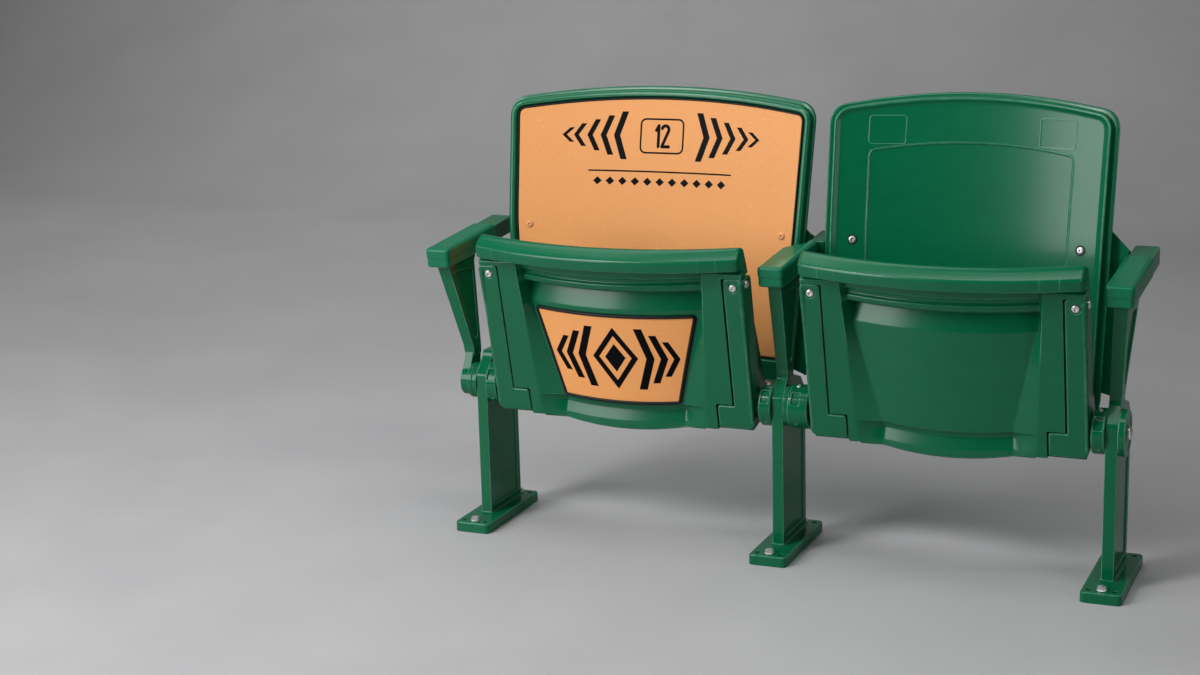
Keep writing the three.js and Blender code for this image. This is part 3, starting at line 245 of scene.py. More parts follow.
def smooth_profile(points, r=1.2, steps=4):
    """Open line (radius, height) with each inner corner replaced by a curve of the second degree that starts
    and ends r from it."""
    out = [np.array(points[0], float)]
    t = np.linspace(0, 1, steps + 1)[:, None]
    for a, p, b in zip(points, points[1:], points[2:]):
        a, p, b = (np.array(q, float) for q in (a, p, b))
        la, lb = np.linalg.norm(a - p), np.linalg.norm(b - p)
        k = min(r, la * 0.45, lb * 0.45)
        s, e = p + (a - p) / la * k, p + (b - p) / lb * k
        out += list((1 - t) ** 2 * s + 2 * t * (1 - t) * p + t * t * e)
    out.append(np.array(points[-1], float))
    return np.array(out)


def lathe(profile, steps):
    """Surface turned about w over (radius, w): the radius times the cosine and sine of even turns. A radius
    may be one number or change round the ring."""
    t = turns(steps)
    return tube([np.stack([q * np.cos(t), q * np.sin(t), np.full(steps, float(h))], 1) for q, h in profile])


def hexagon(radius, steps):
    """Radius of a hexagon at even turns: its flats' distance over the cosine of the turn from a flat."""
    sector = (turns(steps) + PI / 6) % (PI / 3) - PI / 6
    return radius * math.cos(PI / 6) / np.cos(sector)


def socket_head(radius, height, socket, shank, length, steps=42):
    """Button head with a six-sided socket: over a short upright rim the crown follows a quarter ellipse, and
    the rings then blend from round to the hexagon."""
    hexa, flat, rim = hexagon(socket, steps), socket + 0.9, 0.22
    rings = [(ON_AXIS, -length), (shank, -length), (shank, 0), (radius, 0), (radius, height * rim)]
    rings += [(flat + (radius - flat) * math.cos(a), height * (rim + (1 - rim) * math.sin(a)))
              for a in np.linspace(0, QUARTER, 8)[1:]]
    rings += [(hexa + 0.25, height), (hexa, height - 0.3), (hexa, height * 0.3), (hexa * 0.5, height * rim),
              (ON_AXIS, height * 0.15)]
    return lathe(rings, steps)


def hex_bolt(radius, height, washer, washer_high, steps=36):
    """Hexagon head on a round washer; the smaller of the hexagon and a circle makes the chamfered crown."""
    hexa, top = hexagon(radius, steps), washer_high + height
    return lathe([(ON_AXIS, 0), (washer - 0.4, 0), (washer, 0.4), (washer, washer_high - 0.5),
                  (washer - 0.5, washer_high), (hexa, washer_high), (hexa, top - 1.0),
                  (np.minimum(hexa, radius * 0.93), top - 0.35), (radius * 0.8, top), (ON_AXIS, top + 0.3)], steps)


def matrix_map(columns, origin):
    """Map from local (u, v, w): each times its own direction, added up from the origin."""
    m, o = np.array(columns, float), np.array(origin, float)
    return lambda p: p @ m + o


def along_x(x, side=1):
    """Local w runs out along x on the given side from the hinge line; u is across and v is up."""
    return lambda p: np.stack([x + side * p[:, 2], AXIS_Y + side * p[:, 0], AXIS_Z + p[:, 1]], 1)


def edge_wear_and_highlight(mesh):
    """Vertex attribute wear_and_highlight, from 0 on flats to 1 on edges, which places both rubbed paint
    and a painted edge highlight: the turn between two faces' normals over the distance between their
    middles, times the radius that counts as an edge, where the surface bends outwards. A vertex takes the
    most of its edges."""
    edge_radius, least_gap = 0.0022, 2e-4

    def read(items, key, width, kind):
        values = np.empty(len(items) * width, kind)
        items.foreach_get(key, values)
        return values.reshape(-1, width)
    edge = read(mesh.loops, "edge_index", 1, np.int32)[:, 0]
    normal, centre = (read(mesh.polygons, key, 3, np.float32) for key in ("normal", "center"))
    poly = np.repeat(np.arange(len(normal)), read(mesh.polygons, "loop_total", 1, np.int32)[:, 0])
    order = np.argsort(edge, kind="stable")
    e, p = edge[order], poly[order]
    i = np.flatnonzero(e[1:] == e[:-1])
    a, b, e = p[i], p[i + 1], e[i]
    gap = centre[b] - centre[a]
    turn = np.arccos(np.clip((normal[a] * normal[b]).sum(1), -1, 1))
    outward = (normal[a] * gap).sum(1) < 0
    bend = np.where(outward, turn / np.maximum(np.linalg.norm(gap, axis=1), least_gap), 0) * edge_radius
    ends = read(mesh.edges, "vertices", 2, np.int32)[e]
    wear_and_highlight = np.zeros(len(mesh.vertices), np.float32)
    for k in (0, 1):
        np.maximum.at(wear_and_highlight, ends[:, k], np.clip(bend, 0, 1).astype(np.float32))
    mesh.attributes.new("wear_and_highlight", "FLOAT", "POINT").data.foreach_set("value", wear_and_highlight)


def place(name, data):
    """Object at the origin in the scene."""
    obj = bpy.data.objects.new(name, data)
    bpy.context.scene.collection.objects.link(obj)
    return obj


MATERIALS = {}


def piece(name, shape, material, body, slot, *nodes, sharp=38.0, weighted=True):
    """Makes the object from a shape in millimetres, welds it, turns its faces out and lets it ride."""
    mesh = bpy.data.meshes.new(name)
    mesh.from_pydata((np.vstack(shape.v) * 0.001).tolist(), [], shape.f)
    bm = bmesh.new()
    bm.from_mesh(mesh)
    bmesh.ops.remove_doubles(bm, verts=bm.verts, dist=2e-6)
    bmesh.ops.dissolve_degenerate(bm, edges=bm.edges, dist=1e-6)
    bmesh.ops.recalc_face_normals(bm, faces=bm.faces)
    bm.to_mesh(mesh)
    bm.free()
    mesh.polygons.foreach_set("use_smooth", np.ones(len(mesh.polygons), bool))
    mesh.set_sharp_from_angle(angle=math.radians(sharp))
    edge_wear_and_highlight(mesh)
    mesh.materials.append(MATERIALS[material])
    obj = place(name, mesh)
    if weighted:
        even = obj.modifiers.new("even_normals", "WEIGHTED_NORMAL")
        even.keep_sharp, even.weight = True, 70
    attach(obj, body)
    if nodes:
        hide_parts(*nodes)


def casting(name, shape, *nodes):
    """Cast and painted piece of the frame."""
    piece(name, shape, "cast_green", "frame", "cast_green", *nodes)


def armrest(name, shape, *nodes):
    """Moulded half of an armrest, in a lighter copy of the moulded green: painted light on its lit faces."""
    piece(name, shape, "armrest_green_painted_light", "frame", "moulded_green", *nodes)


def moulding(name, shape, body, *nodes, sharp=38.0):
    """Moulded green piece of a seat or a back."""
    piece(name, shape, "moulded_green", body, "moulded_green", *nodes, sharp=sharp)


def fastener(name, shape, body, *nodes, finish="stainless", slot="stainless"):
    """Screw or bolt, with its flats kept crisp."""
    piece(name, shape, finish, body, slot, *nodes, sharp=28)


# Materials


def srgb(r, g, b):
    """Linear colour from screen values of 0 to 255."""
    return tuple(((c / 255) / 12.92 if c / 255 <= 0.04045 else ((c / 255 + 0.055) / 1.055) ** 2.4)
                 for c in (r, g, b)) + (1.0,)


class Tree:
    """Short way to place and join shader nodes: node places one, put sets a socket or joins it."""

    def __init__(self, tree):
        self.t = tree

    def node(self, kind, **settings):
        n = self.t.nodes.new(kind)
        for key, value in settings.items():
            setattr(n, key, value)
        return n

    def put(self, socket, value):
        if isinstance(value, bpy.types.NodeSocket):
            self.t.links.new(value, socket)
        else:
            socket.default_value = value

    def make(self, kind, inputs, **settings):
        """New node with inputs, by name or number, set to values or joined to sockets; gives its outputs."""
        n = self.node(kind, **settings)
        for key, value in inputs.items():
            self.put(n.inputs[key], value)
        return n.outputs

    def place(self):
        """Coordinates of the piece, which lies in the frame of the row."""
        return self.node("ShaderNodeTexCoord").outputs["Object"]

    # Each of these places one node, joins it up and gives its output.

    def math(self, op, *values):
        return self.make("ShaderNodeMath", dict(enumerate(values)), operation=op)[0]

    def plus(self, a, b):
        return self.math("ADD", a, b)

    def minus(self, a, b):
        return self.math("SUBTRACT", a, b)

    def times(self, a, b):
        return self.math("MULTIPLY", a, b)

    def mix(self, share, a, b):
        return self.make("ShaderNodeMix", {"Factor": share, "A": a, "B": b}, data_type="RGBA")["Result"]

    def noise(self, at, scale, detail=2.0, rough=0.5):
        inputs = {"Vector": at, "Scale": scale, "Detail": detail, "Roughness": rough}
        return self.make("ShaderNodeTexNoise", inputs)["Fac"]

    def cells(self, feature, at, **inputs):
        """Distance from the middles of scattered cells."""
        return self.make("ShaderNodeTexVoronoi", {"Vector": at, **inputs}, feature=feature)["Distance"]

    def remap(self, value, a, b, c=0.0, d=1.0):
        """Value from a to b moved to c to d and held there."""
        return self.make("ShaderNodeMapRange", dict(enumerate((value, a, b, c, d))), clamp=True)[0]

    def stretch(self, at, scale, turn):
        return self.make("ShaderNodeMapping", {"Vector": at, "Scale": scale, "Rotation": turn})[0]

    def bump(self, height, distance, strength=0.5, **normal):
        inputs = {"Height": height, "Distance": distance, "Strength": strength}
        return self.make("ShaderNodeBump", {**inputs, **normal})[0]


def node_group(name, inputs, outputs, build):
    """Shared shader group; inputs are (name, value), outputs are names, build returns the output sockets."""
    g = bpy.data.node_groups.new(name, "ShaderNodeTree")
    for key, value in inputs:
        s = g.interface.new_socket(key, in_out="INPUT", socket_type="NodeSocketFloat")
        s.default_value = value
    for key in outputs:
        g.interface.new_socket(key, in_out="OUTPUT", socket_type="NodeSocketFloat")
    t = Tree(g)
    entry, leave = t.node("NodeGroupInput"), t.node("NodeGroupOutput")
    for key, socket in zip(outputs, build(t, entry.outputs)):
        g.links.new(socket, leave.inputs[key])
    return g


def build_scuff(t, inputs):
    """Fine hair scratches: the crests of noise drawn out in three directions, broken up by patches."""
    at, total = t.place(), None
    for turn, long_scale in (((0.3, 0.2, 0.9), 9), ((1.1, 0.5, -0.4), 7), ((0.2, 1.2, 0.2), 11)):
        line = t.noise(t.stretch(at, (long_scale, 420, 420), turn), 1.0, 1.0, 0.4)
        line = t.remap(line, 0.72, 0.80)
        total = line if total is None else t.math("MAXIMUM", total, line)
    patch = t.remap(t.noise(at, 14.0, 3.0, 0.6), 0.46, 0.66)
    return [t.times(t.times(total, patch), inputs["Amount"])]


def build_grain(t, inputs):
    """Moulded surface: rounded cells and fine noise make a pebbled grain, wide noise a soft unevenness."""
    at = t.place()
    cells = t.cells("SMOOTH_F1", at, Scale=inputs["Grain"], Smoothness=0.7)
    fine = t.noise(at, t.times(inputs["Grain"], 1.7), 3.0, 0.6)
    return [t.plus(t.times(cells, 0.7), t.times(fine, 0.45)), t.noise(at, 26.0, 3.0)]


def build_wear_and_highlight(t, inputs):
    """Rubbed paint and a painted highlight on edges: the edge attribute of the mesh, broken up by two sizes of noise.
    """
    edge = t.node("ShaderNodeAttribute", attribute_name="wear_and_highlight").outputs["Fac"]
    at = t.place()
    broken = t.plus(t.times(t.noise(at, 60.0, 4.0, 0.65), 0.7), t.times(t.noise(at, 11.0), 0.5))
    return [t.remap(t.times(edge, broken), inputs["From"], inputs["To"])]


def build_specks(t, inputs):
    """Sparse specks of dust: the middles of cells, where wide noise lets them grow."""
    at = t.place()
    cells = t.cells("F1", at, Scale=95.0)
    size = t.times(t.remap(t.noise(at, 31.0), 0.5, 0.72), inputs["Size"])
    return [t.math("LESS_THAN", cells, size)]


SCUFF = node_group("fine_scratches", [("Amount", 1.0)], ["Scratches"], build_scuff)
GRAIN = node_group("moulded_grain", [("Grain", 900.0)], ["Grain", "Uneven"], build_grain)
WEAR_AND_HIGHLIGHT = node_group("rubbed_and_highlit_edges", [("From", 0.25), ("To", 0.75)], ["Wear"], build_wear_and_highlight)
SPECKS = node_group("dust_specks", [("Size", 0.09)], ["Specks"], build_specks)


def use(t, group, **values):
    """Places a shared group with its own values and gives its outputs."""
    return t.make("ShaderNodeGroup", values, node_tree=group)


def material(name, specular=None, metallic=0.0):
    """New material with one shader; gives its tree and the shader's inputs."""
    m = bpy.data.materials.new(name)
    m.use_nodes = True
    m.node_tree.nodes.clear()
    t = Tree(m.node_tree)
    out = t.node("ShaderNodeOutputMaterial")
    b = t.node("ShaderNodeBsdfPrincipled")
    m.node_tree.links.new(b.outputs[0], out.inputs[0])
    b.inputs["Metallic"].default_value = metallic
    if specular is not None:
        b.inputs["Specular IOR Level"].default_value = specular
    MATERIALS[name] = m
    return t, b.inputs


def surface(t, b, colour, roughness, normal):
    """Joins colour, roughness and normal to the shader."""
    for key, value in (("Base Color", colour), ("Roughness", roughness), ("Normal", normal)):
        t.put(b[key], value)


# Colours of rubbed edges (which also paint in an edge highlight), of scratches and of dust
RUBBED_AND_HIGHLIGHT, SCRATCHED, DUST = srgb(116, 182, 154), srgb(120, 165, 145), srgb(165, 190, 175)


def green(name, base, light, rough, grain, grain_depth, peel_depth, coat, coat_rough, specks, specular=0.02):
    """Painted or moulded green: colour drift, rubbed edges that also carry a painted highlight, scratches, grain and a
    soft clear layer.
    """
    t, b = material(name, specular)
    g = use(t, GRAIN, Grain=grain)
    wear_and_highlight = use(t, WEAR_AND_HIGHLIGHT)["Wear"]
    scratch = use(t, SCUFF, Amount=1.0)["Scratches"]
    colour = t.mix(t.remap(g["Uneven"], 0.3, 0.7, 0.0, 0.32), base, light)
    # Painted highlight with some rubbed paint: edges paled towards RUBBED_AND_HIGHLIGHT
    colour = t.mix(t.times(wear_and_highlight, 0.60), colour, RUBBED_AND_HIGHLIGHT)
    colour = t.mix(t.times(scratch, 0.10), colour, SCRATCHED)
    if specks:
        colour = t.mix(t.times(use(t, SPECKS, Size=specks)["Specks"], 0.30), colour, DUST)
    r = t.plus(t.remap(g["Uneven"], 0.25, 0.75, rough - 0.035, rough + 0.04), t.times(scratch, 0.10))
    surface(t, b, colour, t.minus(r, t.times(wear_and_highlight, 0.06)),
            t.bump(g["Grain"], grain_depth, Normal=t.bump(g["Uneven"], peel_depth, 0.6)))
    b["Coat Weight"].default_value = coat
    b["Coat Roughness"].default_value = coat_rough


green("cast_green", srgb(2, 96, 62), srgb(6, 105, 69), rough=0.36, grain=620.0, grain_depth=0.00003,
      peel_depth=0.0002, coat=0.50, coat_rough=0.11, specks=0.0)
green("moulded_green", srgb(2, 97, 63), srgb(8, 107, 71), rough=0.38, grain=820.0, grain_depth=0.00006,
      peel_depth=0.0004, coat=0.58, coat_rough=0.22, specks=0.055)
# Armrests: a lighter copy of the moulded green, painted light
green("armrest_green_painted_light", srgb(9, 108, 75), srgb(16, 119, 84), rough=0.44, grain=900.0, grain_depth=0.00007,
      peel_depth=0.0003, coat=0.42, coat_rough=0.24, specks=0.05, specular=0.03)


def woven(name, deep, mid, pale, fleck):
    """Woven vinyl: sine waves make diagonal ribs and fine threads, darker in their hollows and paler on
    their crests, partly as painted shade and highlight. The slant changes sign from band to band inside
    patches of noise, and noise lets the ribs wander."""
    rib, thread, band_width, slant = 0.0046, 0.0011, 0.034, 0.7
    t, b = material(name, specular=0.35)
    at = t.place()
    xyz = t.node("ShaderNodeSeparateXYZ")
    t.put(xyz.inputs[0], at)
    x, z = xyz.outputs["X"], xyz.outputs["Z"]
    wobble = t.times(t.minus(t.noise(at, 22.0), 0.5), 0.0024)
    band = t.math("SNAP", t.plus(t.plus(x, t.times(z, 0.22)), wobble), band_width)
    odd = t.math("GREATER_THAN", t.math("SINE", t.times(band, PI / band_width)), 0.0)
    flip = t.minus(t.times(odd, 2 * slant), slant)
    patch = t.math("GREATER_THAN", t.noise(at, 5.0, 1.0), 0.53)
    lean = t.plus(t.times(flip, patch), t.times(t.minus(1.0, patch), slant))
    ribs = t.math("SINE", t.times(t.plus(t.minus(z, t.times(x, lean)), wobble), 2 * PI / rib))
    threads = t.math("SINE", t.times(t.plus(x, t.times(z, 0.4)), 2 * PI / thread))
    rise = t.plus(t.times(ribs, 0.50), t.times(threads, 0.12))
    rise = t.plus(rise, t.times(t.noise(at, 900.0), 0.35))
    mottle = t.noise(at, 9.0, 4.0, 0.6)
    # Colour from deep in the rib hollows to pale on the crests: partly the weave's own tone, partly painted shade and
    # highlight of the ribs
    colour = t.mix(t.remap(rise, -0.45, 0.85), deep, pale)
    colour = t.mix(t.remap(mottle, 0.3, 0.7, 0.0, 0.30), colour, mid)
    colour = t.mix(t.times(t.remap(t.noise(at, 160.0, 3.0), 0.64, 0.72), 0.25), colour, fleck)
    surface(t, b, colour, t.remap(rise, -0.5, 0.8, 0.60, 0.46), t.bump(rise, 0.00030, 0.6))
    b["Sheen Weight"].default_value = 0.12
    b["Sheen Roughness"].default_value = 0.5


woven("woven_tan", srgb(214, 134, 69), srgb(238, 160, 90), srgb(246, 176, 108), srgb(250, 205, 150))
# The seat panel's copy of the weave is lighter throughout: painted light
woven("woven_tan_seat_painted_light", srgb(234, 146, 76), srgb(252, 166, 92), srgb(255, 186, 114), srgb(255, 210, 156))

# Print ink that lies in the weave
t, b = material("print_black", specular=0.06)
fine = t.noise(t.place(), 700.0, 3.0, 0.6)
surface(t, b, t.mix(fine, srgb(2, 3, 5), srgb(9, 11, 15)), t.remap(fine, 0.3, 0.7, 0.40, 0.58), t.bump(fine, 0.00008))


def plain(name, low, high, grain, depth, rough, strength, specular=None):
    """Dyed rubber or plastic: two near colours over a moulded grain."""
    t, b = material(name, specular)
    g = use(t, GRAIN, Grain=grain)
    surface(t, b, t.mix(t.remap(g["Uneven"], 0.3, 0.7), low, high), t.remap(g["Grain"], 0.2, 0.9, *rough),
            t.bump(g["Grain"], depth, strength))


plain("rubber_black", srgb(4, 5, 7), srgb(13, 16, 18), 1400.0, 0.00006, (0.42, 0.60), 0.6, 0.3)
plain("cap_tan", srgb(214, 142, 84), srgb(230, 162, 104), 900.0, 0.00005, (0.34, 0.5), 0.5)

# Stainless fasteners: turned rings of fine lines, small pits
t, b = material("stainless", metallic=0.8)
at = t.place()
line = t.noise(t.stretch(at, (2600, 300, 2600), (0.2, 0.5, 0.3)), 1.0)
spots = t.noise(at, 240.0, 4.0, 0.6)
surface(t, b, t.mix(t.remap(spots, 0.35, 0.7), srgb(236, 236, 236), srgb(200, 202, 204)),
        t.plus(t.remap(line, 0.3, 0.7, 0.24, 0.38), t.remap(spots, 0.5, 0.8, 0.0, 0.12)), t.bump(line, 0.00002))

# Spring wire: drawn steel with a brown tint in places
t, b = material("spring_steel", metallic=0.9)
spots = t.noise(t.place(), 180.0, 4.0, 0.6)
surface(t, b, t.mix(t.remap(spots, 0.4, 0.75), srgb(122, 126, 130), srgb(88, 80, 72)),
        t.remap(spots, 0.3, 0.8, 0.28, 0.5), t.bump(spots, 0.00004))

# Painted shade: a near-black colour for the shade inside the foot's holes and round the plain back's screw heads
t, b = material("painted_shade")
t.put(b["Base Color"], t.mix(t.noise(t.place(), 300.0, 3.0), srgb(6, 12, 9), srgb(14, 24, 18)))
b["Roughness"].default_value = 0.7


# Standards, feet and arm brackets. Outlines are (y, z, corner radius) unless they say otherwise.

POST = [(-50, 18), (87, 18), (87, 292, 18), (60, 322, 8), (14, 337, 9), (14, 346), (-20, 346), (-20, 337, 12),
        (-50, 303, 12)]
POST_WEB = [(-35, 34, 8), (73, 34, 8), (73, 244, 8), (-35, 244, 8)]
UPRIGHT = [(26, 291), (60, 244), (121, 244, 8), (150.6, 300, 8), (185, 590, 8), (146, 590, 8), (110.6, 309, 8),
           (76.6, 291, 8)]
SUPPORT = [(-20, 332), (14, 332), (14, 352, 30), (48, 512, 26), (61, 538, 6), (-60, 525, 4), (-60, 512, 6),
           (-20, 352, 30)]
SUPPORT_WEB = [(-8, 366, 7), (5, 366, 7), (36, 499, 10), (-46, 503, 8)]
NECK_Y = -3.0  # middle of the neck between post and arm support
FOOT_HALF, FOOT_REACH, FOOT_HIGH = 36.5, 118, 20
FOOT_HOLE, HOLE_X, HOLE_Y = 5, 23, 101
FOOT_HOLES = [(x, y) for y in (-HOLE_Y, HOLE_Y) for x in (-HOLE_X, HOLE_X)]
FILLET, FILLET_POINTS = 4.5, 190  # round the foot of the post
BRACKET_HALF, BRACKET_X = 8.5, -PITCH - 39.5  # the left end's outboard bracket
SPRAY = 1.8  # edge radius of the castings


def side_place(x):
    """Local (u, v, w) = (along y, along z, along x from the standard's middle)."""
    return lambda p: np.stack([x + p[:, 2], p[:, 0], p[:, 1]], 1)


def arm_place(x):
    """Local (across, run from the front edge, height) turned by the armrest's slope."""
    c, s = math.cos(ARM_SLOPE), math.sin(ARM_SLOPE)
    return lambda p: np.stack([x + p[:, 0], ARM_FRONT + p[:, 1] * c - p[:, 2] * s,
                               ARM_HEIGHT + p[:, 1] * s + p[:, 2] * c], 1)


def post():
    """Post with a sunk web each side. Its top end is drawn in about the neck by a soft step, so that it
    ends inside the arm support."""
    s = slab(rounded(POST), -POST_HALF, POST_HALF, SPRAY, top=[(rounded(POST_WEB), 2.5)],
             bottom=[(rounded(POST_WEB), 2.5)])

    def slim_top(p):
        k = 1 - 0.06 * smoothstep(p[:, 1], 338, 346)
        return np.column_stack([(p[:, 0] - NECK_Y) * k + NECK_Y, p[:, 1], p[:, 2] * k])
    return s.map(slim_top)


def foot(x):
    """Foot plate with its holes, and the fillet round the post: rounded rectangles that grow by one less the
    sine and rise by one less the cosine of a quarter turn."""
    holes = [circle(*at, FOOT_HOLE, 24) for at in FOOT_HOLES]
    plate = rectangle(-FOOT_HALF, FOOT_HALF, -FOOT_REACH, FOOT_REACH, 9)
    s = slab(plate, 0, FOOT_HIGH, r=3.2, r0=0.8, through=holes)
    rings = []
    for q in np.linspace(0, QUARTER, 6):
        grow = FILLET * (1 - math.sin(q))
        ring = rectangle(-POST_HALF - grow, POST_HALF + grow, -50 - grow, 87 + grow, SPRAY + grow, 0.8)
        fine = resample(resample(ring, 1.5)[:FILLET_POINTS], 1.0)
        even = fine[np.linspace(0, len(fine) - 1, FILLET_POINTS).astype(int)]
        rings.append(uvw(even, FOOT_HIGH + FILLET * (1 - math.cos(q))))
    return s.join(tube(rings)).map(lambda p: p + [x, 0, 0])


def hole_shade_discs(x):
    """Near-black discs low in the foot's side holes: painted shade inside the holes."""
    s = Shape()
    for at in FOOT_HOLES:
        s.add(uvw(circle(*at, FOOT_HOLE + 0.6, 24), 3.0) + [x, 0, 0], [list(range(24))])
    return s


def arm_support(x, lean):
    """Web and flanges between the neck and the armrest. Up its height, half by a soft step and half evenly,
    it widens and leans across by lean; its lower end sinks into the post and swells just above it."""
    s = slab(rounded(SUPPORT), -13, 13, 2.2, top=[(rounded(SUPPORT_WEB), 4)], bottom=[(rounded(SUPPORT_WEB), 4)])

    def taper(p):
        z = p[:, 1]
        share = (smoothstep(z, 336, 512) + np.clip((z - 336) / 176, 0, 1)) / 2
        k = 1 + 0.02 * np.clip((370 - z) / 30, 0, 1) - 0.10 * np.clip((338.5 - z) / 6.5, 0, 1)
        across = x + k * p[:, 2] * (22 + 4 * share) / 26 + lean * share
        return np.stack([across, (p[:, 0] - NECK_Y) * k + NECK_Y, z], 1)
    return s.map(taper)


def arm_beam(x, slim):
    """Beam in the armrest, from the front to the joint and on to its end, and the tongue behind it; slim
    leaves room on one side. Sizes are across, along and up."""
    low, high, half, joint, end, tongue = -36.0, -22.3, 17, 148, 214, 212.3

    def bar(u0, u1, v0, v1, r):
        return slab(rectangle(u0, u1, v0, v1, 2.0), low, high, r)
    s = bar(-half, half, 10, 150 if slim else 211.7, 1.2)
    s.join(bar(8.8 if slim else -half, half, joint, end, 1.0))
    u0, u1 = (6.3, 36) if slim else (-22.5, 22.5)
    plan = rounded([(u0, tongue, 1), (u1, tongue, 1), (u1, 295, 5), (u0, 295, 5)])
    return s.join(slab(plan, low, -3, r=2.4, r0=1.2)).map(arm_place(x))


for name, x in (("left", -PITCH), ("middle", 0.0), ("right", PITCH)):
    s = post().map(side_place(x)).join(foot(x))
    if name == "left":
        s.join(slab(rounded(UPRIGHT), -POST_HALF, POST_HALF, SPRAY).map(side_place(x)))
    else:
        lean = ARM_X[name] - x
        s.join(arm_support(x, lean)).join(arm_beam(x + lean, name == "middle"))
    casting(f"standard_{name}_cast", s, f"standard_{name}")
    # Painted shade in the foot's side holes
    piece(f"foot_hole_shade_{name}", hole_shade_discs(x), "painted_shade", "frame", "cast_green")
    for end, y in (("front", -HOLE_Y), ("rear", HOLE_Y)):
        bolt = hex_bolt(8.4, 5.6, 9.5, 2.2).map(lambda p, x=x, y=y: p + [x, y, FOOT_HIGH + 0.15])
        fastener(f"anchor_{name}_{end}", bolt, "frame", f"foot_bolt_{name}_{end}")


def end_bolt(name, x, side):
    """Large bolt on the hinge line, with its head outwards from x."""
    head = socket_head(12, 6, 5.2, 9, 20, steps=48).map(along_x(x, side))
    piece(f"pivot_bolt_{name}_head", head, "stainless", "frame", "stainless", f"pivot_bolt_{name}")


# Left end: outboard bracket, spacer and bolt
h = BRACKET_HALF
disc = lathe(smooth_profile([(ON_AXIS, -h), (30, -h), (30, h), (ON_AXIS, h)], 2.0), 72)
stem = rounded([(-47.5, 285, 3), (9.5, 285, 3), (14, 340), (-20, 340)])
s = disc.map(along_x(BRACKET_X)).join(slab(stem, -h, h, SPRAY).map(side_place(BRACKET_X)))
s.join(arm_support(BRACKET_X, ARM_X["left"] - BRACKET_X)).join(arm_beam(ARM_X["left"], False))
casting("arm_bracket_left_cast", s, "arm_bracket_left")

BOLT_HOLE = 9.3
x0 = BRACKET_X + BRACKET_HALF + 0.3
w = -PITCH - POST_FACE - x0
profile = smooth_profile([(BOLT_HOLE, 0), (35, 0), (35, w / 2 - 1), (33, w / 2 - 1), (33, w / 2 + 1), (35, w / 2 + 1),
                          (35, w), (BOLT_HOLE, w), (BOLT_HOLE, 0)], 1.4)
casting("pivot_spacer_left_disc", lathe(profile, 84).map(along_x(x0)), "pivot_spacer_left")
end_bolt("left", BRACKET_X - BRACKET_HALF - 0.3, -1)

# Right end: round cap with a raised ring, and its bolt
profile = smooth_profile([(BOLT_HOLE, 0), (42, 0), (42, 12.7), (33, 12.7), (31.5, 11.4), (17, 11.4), (15.5, 12.7),
                          (BOLT_HOLE, 12.7), (BOLT_HOLE, 0)], 2.2)
casting("pivot_cap_right_disc", lathe(profile, 96).map(along_x(PITCH + POST_FACE)), "pivot_cap_right")
end_bolt("right", PITCH + POST_FACE + 13, 1)

# Armrests

ARM_HALF, ARM_EDGE = 25.5, 6.4
ARM_JOINT, ARM_DEEP = -19, -38.5  # where the two halves meet, and the underside


def armrest_plan(draw, slim, length=ARM_LENGTH):
    """Plan of an armrest, drawn in all round; slim narrows the rear end to one side."""
    h = ARM_HALF - draw
    front, rear = 9 - draw, 6 - draw / 2
    corners = [(-h, draw, front), (h, draw, front), (h, length, rear)]
    corners += [(6 + draw, length, 5), (6 + draw, 188, 20), (-h, 150, 22)] if slim else [(-h, length, rear)]
    return ccw(rounded(corners, 1.0))


arc = np.linspace(0, QUARTER, 11)
rings = [(0.5, ARM_JOINT), (0, ARM_JOINT + 0.5)]
rings += list(zip(ARM_EDGE * (1 - np.cos(arc)), -ARM_EDGE + 6.0 * np.sin(arc)))
rings += [(ARM_EDGE + 1, -0.25), (ARM_EDGE + 1.6, -0.1)]
for name, x in ARM_X.items():
    slim = name == "middle"
    plan = armrest_plan(0, slim)
    pts = [uvw(offset(plan, d), h) for d, h in rings]
    s = tube(pts)
    fill(s, [pts[0]])
    fill(s, [pts[-1]])
    armrest(f"armrest_{name}_upper", s.map(arm_place(x)), f"armrest_{name}_cap")
    s = slab(armrest_plan(1.3, slim, 211.7), ARM_DEEP, ARM_JOINT - 0.3, r=0.5, r0=5.0, steps=7)
    armrest(f"armrest_{name}_lower", s.map(arm_place(x)), f"armrest_{name}_base")

# Hinge hubs

HUB_R, HUB_BORE, HUB_EDGE = 41, 9.3, 3
POCKET_AT, POCKET_HALF, POCKET_ARC, POCKET_SINK = 11.8, 7.4, 13.0, 3.0
POCKET_TURN, DOT_TURN = math.radians(33), math.radians(38)
DOT_R, DOT_SINK = 2.4, 2.4
LONG_NECK = 13.0  # the long collar keeps its pocket near the seat, behind a neck


def box_distance(a, b, half_a, half_b, r):
    """Signed distance to a rounded rectangle: outside, the length of what lies past its inner box; inside,
    the larger of the two; less the corner radius."""
    qa, qb = np.abs(a) - half_a + r, np.abs(b) - half_b + r
    return np.hypot(np.maximum(qa, 0), np.maximum(qb, 0)) + np.minimum(np.maximum(qa, qb), 0) - r


def arc_length(t, middle):
    """Length round the collar from the turn middle."""
    return (((t - middle + PI) % (2 * PI) - PI) * HUB_R)[None, :]


